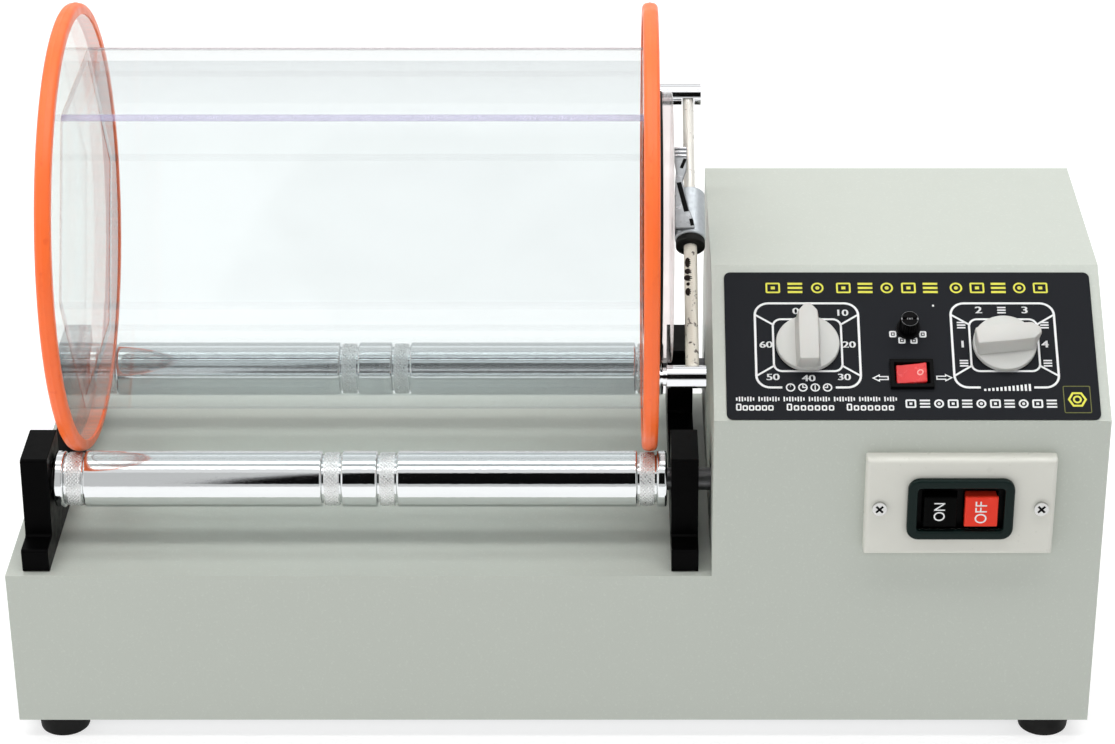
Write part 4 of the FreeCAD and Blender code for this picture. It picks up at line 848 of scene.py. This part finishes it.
def clamp_lever():
    """The bent chromed lever: pinched at the waist, its slots painted on as dark strips of shade, with ribs
    at its tip.
    """
    front = clamp_place() @ facing_front(Vector((0, 0, 0)), 0)
    bm = bmesh.new()
    outline = rounded([(x * MM, z * MM, radius * MM) for x, z, radius in LEVER_OUTLINE], 4)
    soft_prism(bm, outline, 5.6 * MM, 7.7 * MM, 0.5 * MM, bottom_edge=0.3 * MM)
    item = piece("clamp_lever_bent", bm, "lever", "clamp_cam", front, 50)
    bm = bmesh.new()
    for height in LEVER_RIBS:
        strip(bm, (-6.5, height), (-1.2, height), 1.1, 7.5, 8.4, 0.5)
    ribs = piece("clamp_lever_ribs", bm, "chrome", "clamp_cam", front, 50)
    for part in (item, ribs):
        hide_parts("clamp_lever")
    # Painted shade: dark strips stand for the slots' shadowed openings.
    bm = bmesh.new()
    for x1, z1, x2, z2, width in LEVER_SLOTS:
        strip(bm, (x1, z1), (x2, z2), width, 7.5, 7.85, 0.1)
    slot_shade = piece("clamp_lever_slot_shade", bm, "black", "clamp_cam", front, 50)


# ---------------- printed panel

PRINT = 0.06 * MM
FRAME_OUTER = (45.0 * MM, 42.8 * MM)
FRAME_INNER = (29.6 * MM, 26.4 * MM)
LINE = 1.0 * MM


def dial_frame(bm, centre, gap):
    """Two rounded squares joined by four slanted lines; the outer one is open below for its symbols."""
    outer = [point + centre for point in rounded_rectangle(*FRAME_OUTER, 6.0 * MM, 8)]
    inner = [point + centre for point in rounded_rectangle(*FRAME_INNER, 3.6 * MM, 8)]
    loop_line(bm, inner, LINE * 0.9)
    start = len(outer) // 4
    bottom = centre.y - FRAME_OUTER[1] / 2
    ends = [Vector((centre.x + side * gap / 2, bottom)) for side in (1, -1)]
    ribbon(bm, ends[:1] + outer[start:] + outer[:start] + ends[1:], LINE, PRINT)
    for across in (-1, 1):
        for up in (-1, 1):
            near = centre + Vector((across * 14.3, up * 10.2)) * MM
            far = centre + Vector((across * 22.2, up * 15.4)) * MM
            ribbon(bm, [near, far], LINE * 0.85, PRINT)


def clock_symbol(bm, centre, hand):
    """A small clock face whose single hand points at an angle in degrees."""
    x, y = centre
    loop_line(bm, circle(centre, 1.75 * MM), 0.6 * MM)
    tip = heading(hand) * 1.3 * MM
    pin = Vector((x, y))
    ribbon(bm, [Vector((x, y + 1.2 * MM)), pin, pin + tip], 0.5 * MM, PRINT)


def bar(bm, x, y, width, height):
    """A small upright block centred on a point, in millimetres."""
    patch(bm, [Vector(corner) * MM for corner in
               ((x - width / 2, y - height / 2), (x + width / 2, y - height / 2),
                (x + width / 2, y + height / 2), (x - width / 2, y + height / 2))], PRINT)


def square_ring(bm, x, y, width, height, line):
    ring = rounded_rectangle(width * MM, height * MM, 0.3 * MM, 2)
    loop_line(bm, [point + Vector((x, y)) * MM for point in ring], line * MM)


def tile(bm, x, y, width, height, kind):
    """One ornament of a printed border: a framed dot, a grille or a ringed dot."""
    if kind == 0:
        square_ring(bm, x, y, width * 0.82, height * 0.82, 0.75)
        bar(bm, x, y, width * 0.26, height * 0.26)
    elif kind == 1:
        for step in (-1, 0, 1):
            bar(bm, x, y + step * height * 0.38, width * 0.94, height * 0.19)
    else:
        spot = (x * MM, y * MM)
        loop_line(bm, circle(spot, height * 0.42 * MM), 0.75 * MM)
        loop_line(bm, circle(spot, height * 0.10 * MM, 6), height * 0.12 * MM)


def arrow(bm, x, y, heading):
    """A short outlined arrow that points left (-1) or right (+1)."""
    corners = [(-3.2, -0.75), (0.6, -0.75), (0.6, -1.5), (3.2, 0), (0.6, 1.5), (0.6, 0.75), (-3.2, 0.75)]
    outline = [Vector((x + heading * px * MM, y + py * MM)) for px, py in corners]
    loop_line(bm, outline, 0.5 * MM)


# Places on the printed panel in millimetres, counted from the knob they belong to or from the timer knob.
TIMER_FIGURES = {
    "0": (-4.6, 17.3), "10": (15.4, 16.4), "20": (18.0, 0.1), "30": (15.3, -16.3),
    "40": (0, -16.9), "50": (-15.4, -16.3), "60": (-18.0, 0.1),
}
SPEED_FIGURES = {"1": (-18.1, 0.3), "2": (-10.2, 17.8), "3": (9.9, 17.8), "4": (17.7, 0.3)}
SPEED_STOPS = ((-18.2, 10.2), (18.0, 10.2), (-18.0, -9.2), (18.2, -9.2), (-0.2, 17.9))
FUSE_MARKS = ((37.2, 5.6), (41.0, 2.4), (46.2, 2.3), (50.2, 5.5))
TITLE_TILES = (-14.3, -4.6, 5.2, 16.6, 26.1, 35.6, 45.1, 54.6, 65.9, 75.1, 84.4, 93.6, 102.8)


def panel_marks_white(bm, across):
    """The frames, figures, stops, symbols and borders; across is the distance between the two dials."""
    for x in (0, across):
        dial_frame(bm, Vector((x, 0)), 23 * MM)
    for text, (x, y) in TIMER_FIGURES.items():
        lettering(bm, text, 4.5 * MM, (x * MM, y * MM), PRINT, stretch=1.3, bold=0.12 * MM)
    for text, (x, y) in SPEED_FIGURES.items():
        lettering(bm, text, 4.9 * MM, (across + x * MM, y * MM), PRINT, stretch=1.3, bold=0.14 * MM)
    for x, y in SPEED_STOPS:
        tile(bm, across / MM + x, y, 3.9, 3.5, 1)
    for x, y in FUSE_MARKS:
        tile(bm, x, y, 2.9, 3.0, 0)
    bar(bm, 55.4, 20.2, 0.8, 0.9)
    low_y = -FRAME_OUTER[1] / 2
    for number, hand in enumerate((90, 0, -90, 180)):
        clock_symbol(bm, ((number - 1.5) * 5.3 * MM, low_y), hand)
    for number in range(12):
        height = 1.0 + 0.22 * number
        bar(bm, across / MM + (number - 5.5) * 1.75, low_y / MM - 1.7 + height / 2, 0.95, height)
    arrow(bm, 31.0 * MM, -16.7 * MM, -1)
    arrow(bm, 58.4 * MM, -16.5 * MM, 1)
    for number in range(58):
        if number % 9 != 7:
            bar(bm, -31.2 + number * 1.2, -27.2, 0.62, 2.3 if number % 3 else 1.5)
    for start, count, pitch in ((-30.4, 6, 2.75), (-8.7, 7, 3.0), (17.0, 7, 3.0)):
        for number in range(count):
            tall = 3.4 if number == 0 else 2.6
            square_ring(bm, start + number * pitch, -32.9 + tall / 2, 1.7, tall - 0.6, 0.62)
    for number in range(11):
        tile(bm, 43.4 + number * 6.04, -29.5, 4.7, 4.2, number % 3)


def printed(name, bm, look):
    item = piece(name, bm, look, "housing", panel_at(TIMER_SPOT), 30)


def panel_print():
    """All printed marks: dial frames and figures, and plain ornaments in place of words."""
    across = (SPEED_SPOT - TIMER_SPOT).length
    bm = bmesh.new()
    panel_marks_white(bm, across)
    printed("label_print_white", bm, "white_print")

    bm = bmesh.new()
    for number, x in enumerate(TITLE_TILES):
        tile(bm, x, 29.4, 6.8, 5.6, number % 3)
    badge = Vector((114.9, -27.4)) * MM
    loop_line(bm, [badge + point for point in circle((0, 0), 3.6 * MM, 6)], 0.9 * MM)
    loop_line(bm, [badge + point for point in circle((0, 0), 1.5 * MM)], 0.8 * MM)
    printed("label_print_yellow", bm, "yellow_print")
    bm = bmesh.new()
    rule = rounded_rectangle(11.4 * MM, 13.2 * MM, 0.5 * MM, 2)
    loop_line(bm, [badge + point for point in rule], 0.35 * MM)
    printed("label_print_rule", bm, "dark_yellow")


# ---------------- knobs and rocker

KNOB_RADIUS = 13.8 * MM
KNOB_BORE = 3.1 * MM
GRIP_RIBS = 24


def knob(name, node, body, spot, turn):
    """A thin round skirt with a tall drafted grip bar, whose nose points at the scale."""
    bm = bmesh.new()
    radius = KNOB_RADIUS
    low, face = 0.5 * MM, 2.8 * MM
    lathe(bm, [(KNOB_BORE, low), (radius - 0.25 * MM, low), (radius, low + 0.25 * MM),
               (radius, face - 0.9 * MM), (radius - 0.25 * MM, face - 0.3 * MM), (radius - 0.9 * MM, face),
               (8 * MM, face + 0.25 * MM), (KNOB_BORE, face + 0.3 * MM)], 128)
    half = 4.15
    grip = rounded([(-half, -13.1, 0.9), (half, -13.1, 0.9), (half + 0.25, 2, 20), (half, 11.6, 2.2),
                    (1.3, 15.0, 0.9), (-1.3, 15.0, 0.9), (-half, 11.6, 2.2), (-half - 0.25, 2, 20)], 5)
    grip = [point * MM for point in grip]
    top, foot = 10.8 * MM, 2.4 * MM
    levels = [(foot, -1.5), (foot + 0.5 * MM, -1.15), (foot + 1.3 * MM, -0.85), (top - 2.0 * MM, -0.2),
              (top - 0.7 * MM, 0.0), (top - 0.2 * MM, 0.2), (top, 0.65)]
    rings = []
    reach = radius - 0.5 * MM
    for height, shrink in levels:
        loop = inset(grip, shrink * MM)
        for point in loop:
            if point.length > reach and height < foot + 1.5 * MM:
                point.length = reach
        rings.append(add_ring(bm, loop, height))
    closed_stack(bm, rings)
    place = panel_at(spot) @ Matrix.Rotation(turn, 4, "Z")
    item = piece(name, bm, "knob", body, place, 40)
    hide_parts(node)


def direction_rocker():
    """The red rocker: two shallow dished faces that meet over its pivot, and a raised ring on one end."""
    spot = Vector(JOINTS["direction_rocker_tilt"]["pos_m"]) - PANEL_NORMAL * 1.0 * MM
    side = rounded([(-7.0, 1.2, 0.6), (-5.6, -2.4, 0.4), (-2.5, -4.4, 0.4), (1.5, -4.4, 0.4),
                    (5.4, -1.5, 0.4), (6.6, 4.0, 0.7), (3.2, 2.7, 8), (0, 2.15, 8), (-3.5, 1.45, 8)], 4)
    bm = bmesh.new()
    half = 4.75 * MM
    levels = [(-half, 0.35), (-half + 0.35 * MM, 0.0), (half - 0.35 * MM, 0.0), (half, 0.35)]
    rings = []
    for height, shrink in levels:
        loop = inset([point * MM for point in side], shrink * MM)
        rings.append([bm.verts.new((x, -height, y)) for x, y in loop])
    closed_stack(bm, rings)
    item = piece("direction_rocker_red", bm, "red_rocker", "rocker", panel_at(spot), 35)
    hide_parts("direction_rocker")
    bm = bmesh.new()
    ribbon(bm, circle((0, 0), 1.2 * MM), 0.5 * MM, 0.15 * MM, closed=True)
    tilt = Matrix.Translation((3.5 * MM, 0, 2.85 * MM)) @ Matrix.Rotation(radians(-20), 4, "Y")
    ring = piece("rocker_ring_mark", bm, "pink_print", "rocker", panel_at(spot) @ tilt, 30)


def fuse_ring():
    """The grip ribs round the fuse cap, its top rim painted light grey as a highlight, and the grey ring
    and slot printed on it.
    """
    spot = Vector(JOINTS["fuse_cap_turn"]["pos_m"]) - PANEL_NORMAL * 0.8 * MM
    bm = bmesh.new()
    for centre in circle((0, 0), 3.9 * MM, GRIP_RIBS):
        soft_prism(bm, [centre + point for point in circle((0, 0), 0.22 * MM, 6)], 3.2 * MM, 9.2 * MM)
    grip = piece("fuse_cap_grip", bm, "black", "fuse_lid", panel_at(spot), 30)
    bm = bmesh.new()
    # The raised rim is lighter than the cap as a painted highlight.
    rim = [(3.15, 9.5), (3.75, 9.5), (3.65, 9.85), (3.25, 9.85)]
    lathe(bm, [(radius * MM, height * MM) for radius, height in rim], 64)
    ring = piece("fuse_cap_rim_highlight", bm, "fuse_rim_painted_highlight", "fuse_lid", panel_at(spot), 30)
    bm = bmesh.new()
    ribbon(bm, circle((0, 0), 1.0 * MM), 0.35 * MM, 0.2 * MM, closed=True)
    bar(bm, 0, 0, 0.7, 2.0)
    raised = panel_at(spot) @ Matrix.Translation((0, 0, 9.65 * MM))
    mark = piece("fuse_cap_mark", bm, "grey_mark", "fuse_lid", raised, 30)


# ---------------- front switch

KEY_MARKS = (
    ("on_button", "on_key", "ON", (-0.1 * MM, 0.3 * MM), 6.9 * MM),
    ("off_button", "off_key", "OFF", (0.1 * MM, -0.1 * MM), 7.3 * MM),
)


def front_switch():
    """The cream plate with its softened rim, the glossy bezel, and the marks on the two keys."""
    width, height = PLATE_HIGH.x - PLATE_LOW.x, PLATE_HIGH.z - PLATE_LOW.z
    proud = CASE_LOW.y - PLATE_LOW.y
    bm = bmesh.new()
    window = (43.4 * MM, 26.4 * MM, 2.4 * MM)
    frame_prism(bm, (width, height, 0.9 * MM), window, 0, proud, 2.2 * MM, 0.3 * MM)
    plate = piece("switch_plate_moulding", bm, "cream", "housing", FRONT, 40)
    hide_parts("switch_plate")

    bezel_low, bezel_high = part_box("switch_bezel")
    bm = bmesh.new()
    outer = (bezel_high.x - bezel_low.x, bezel_high.z - bezel_low.z, 5.2 * MM)
    window = (37.4 * MM, 21.0 * MM, 1.6 * MM)
    frame_prism(bm, outer, window, proud, CASE_LOW.y - bezel_low.y, 0.9 * MM, 0.9 * MM)
    bezel = piece("switch_bezel_gloss", bm, "bezel", "housing", FRONT, 40)
    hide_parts("switch_bezel")

    for node, body, text, spot, size in KEY_MARKS:
        low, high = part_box(node)
        place = facing_front((low + high) / 2, low.y)
        bm = bmesh.new()
        lettering(bm, text, size, spot, PRINT, turn=radians(90), stretch=0.86)
        mark = piece(f"{node}_mark", bm, "white_print", body, place, 30)


def plate_screw_recess_shade():
    """Painted shade: dark strips filling the cross recess in each of the two switch plate screws."""
    low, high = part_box("switch_plate_screws")
    head = (high.z - low.z) / 2 / MM
    apart = (high.x - low.x) / 2 / MM - head
    bm = bmesh.new()
    for screw in (-apart, apart):
        for angle in (40, 130):
            reach = heading(angle) * head * 0.62
            middle = Vector((screw, 0))
            strip(bm, middle - reach, middle + reach, 0.6, -0.6, 0.02, 0.05)
    place = facing_front((low + high) / 2, low.y)
    slot_shade = piece("switch_plate_screw_recess_shade", bm, "black", "housing", place, 40)


# ---------------- studio

CAMERA_SPOT = Vector((0.0252, -1.3021, 0.8009))
CAMERA_PITCH = 27.81
CAMERA_LENS = 103.65
CAMERA_SHIFT = (-0.0466, 0.0468)


def camera():
    data = bpy.data.cameras.new("camera")
    data.sensor_width = 36
    data.lens = CAMERA_LENS
    data.shift_x, data.shift_y = CAMERA_SHIFT
    data.clip_end = 50
    item = added("camera", data)
    item.location = CAMERA_SPOT
    item.rotation_euler = (radians(90 - CAMERA_PITCH), 0, 0)
    bpy.context.scene.camera = item


def stage_plane(name, corners, color, rough):
    mesh = bpy.data.meshes.new(name)
    mesh.from_pydata(corners, [], [range(len(corners))])
    item = added(name, mesh)
    item.data.materials.append(Look(name, color, rough, Specular_IOR_Level=0.1).material)
    return item


def glow(item, strength):
    shader = item.data.materials[0].node_tree.nodes["Principled BSDF"]
    shader.inputs["Emission Color"].default_value = (1, 1, 1, 1)
    shader.inputs["Emission Strength"].default_value = strength


def seen_in_gloss_only(item):
    item.visible_camera = item.visible_shadow = item.visible_diffuse = False


def lamp(name, elevation, distance, size, radiance, mirrored=0.0):
    """A long soft box in the machine's Y-Z plane; elevation counts from the back over the top to the front.

    Glossy parts don't see the box, but a dimmer face in its place where mirrored is given.
    """
    angle = radians(elevation)
    data = bpy.data.lights.new(name, "AREA")
    data.shape = "RECTANGLE"
    data.size, data.size_y = size
    data.energy = radiance * pi * size[0] * size[1]
    item = added(name, data)
    item.location = Vector((0.05, distance * cos(angle), 0.1 + distance * sin(angle)))
    item.rotation_euler = (pi / 2 - angle, 0, pi)
    item.visible_glossy = False
    if mirrored:
        wide, deep = size[0] / 2, size[1] / 2
        turn = item.rotation_euler.to_matrix()
        corners = [item.location + turn @ Vector((x, y, 0)) for x, y in
                   ((-wide, -deep), (wide, -deep), (wide, deep), (-wide, deep))]
        face = stage_plane(name + "_face", corners, (0.02, 0.02, 0.02), 1.0)
        glow(face, mirrored)
        seen_in_gloss_only(face)


DARK_FIGURE = (
    (-0.435, -2.3, 0.40), (0.36, -2.3, 0.40), (0.36, -2.3, 3.0), (-0.405, -2.3, 3.0),
    (-0.428, -2.3, 1.4),
)
# Panels that only the glossy parts see, apart from the left one, which also lights the object.
STUDIO_PANELS = {
    "front_panel": (((-5, -2.6, 0), (5, -2.6, 0), (5, -2.6, 3.6), (-5, -2.6, 3.6)), 0.62),
    "back_panel": (((-5, 3.4, 0), (5, 3.4, 0), (5, 3.4, 3.6), (-5, 3.4, 3.6)), 0.74),
    "top_panel": (((-5, -2.6, 3.6), (5, -2.6, 3.6), (5, 3.4, 3.6), (-5, 3.4, 3.6)), 0.84),
    "right_panel": (((3.6, -2.6, 0), (3.6, 3.4, 0), (3.6, 3.4, 3.0), (3.6, -2.6, 3.0)), 0.70),
    "left_panel": (((-2.4, -2.0, 0), (-2.4, 2.0, 0), (-2.4, 2.0, 1.5), (-2.4, -2.0, 1.5)), 1.5),
}
# Name, elevation in degrees, distance, size, radiance, and the strength of the face seen in gloss.
SOFT_BOXES = (
    ("back_box", 42, 2.2, (3.2, 0.46), 4.6, 1.2),
    ("top_back_box", 82, 1.9, (3.2, 0.42), 4.8, 3.0),
    ("top_front_box", 107, 1.9, (3.2, 0.34), 6.2, 3.0),
    ("front_box", 144, 2.1, (3.2, 0.30), 3.3),
    ("low_box", 162, 2.6, (3.0, 0.50), 0.1),
)


def studio():
    """A bright table, the dark figure the chrome reflects, glowing panels round it, and soft boxes."""
    far = 12.0
    table = stage_plane("floor", [(-far, -far, 0), (far, -far, 0), (far, far, 0), (-far, far, 0)],
                        (0.42, 0.42, 0.418), 0.7)
    glow(table, 0.66)
    figure = stage_plane("dark_figure", DARK_FIGURE, (0.001, 0.001, 0.001), 1.0)
    seen_in_gloss_only(figure)
    for name, (corners, strength) in STUDIO_PANELS.items():
        panel = stage_plane(name, corners, (0.02, 0.02, 0.02), 1.0)
        glow(panel, strength)
        seen_in_gloss_only(panel)
        panel.visible_diffuse = name == "left_panel"
    for box in SOFT_BOXES:
        lamp(*box)
    world = bpy.data.worlds.new("studio")
    world.use_nodes = True
    background = world.node_tree.nodes["Background"]
    background.inputs["Color"].default_value = (1.0, 1.0, 1.0, 1)
    background.inputs["Strength"].default_value = 0.16
    bpy.context.scene.world = world
    bpy.context.scene.view_settings.view_transform = "Standard"


# ---------------- put together

dress_cad_nodes()
roller("front_roller", "front_roller_tube", "front_roller")
roller("rear_roller", "rear_roller_tube", "rear_roller")
tyre("tyre_left_rubber", "tyre_left")
tyre("tyre_right_rubber", "tyre_right")
barrel()
clamp_rod()
clamp_lever()
panel_print()
knob("timer_knob_moulding", "timer_knob", "timer_dial", TIMER_SPOT, 0.0)
knob("speed_knob_moulding", "speed_knob", "speed_dial", SPEED_SPOT, radians(-83.5))
direction_rocker()
fuse_ring()
front_switch()
plate_screw_recess_shade()
camera()
studio()
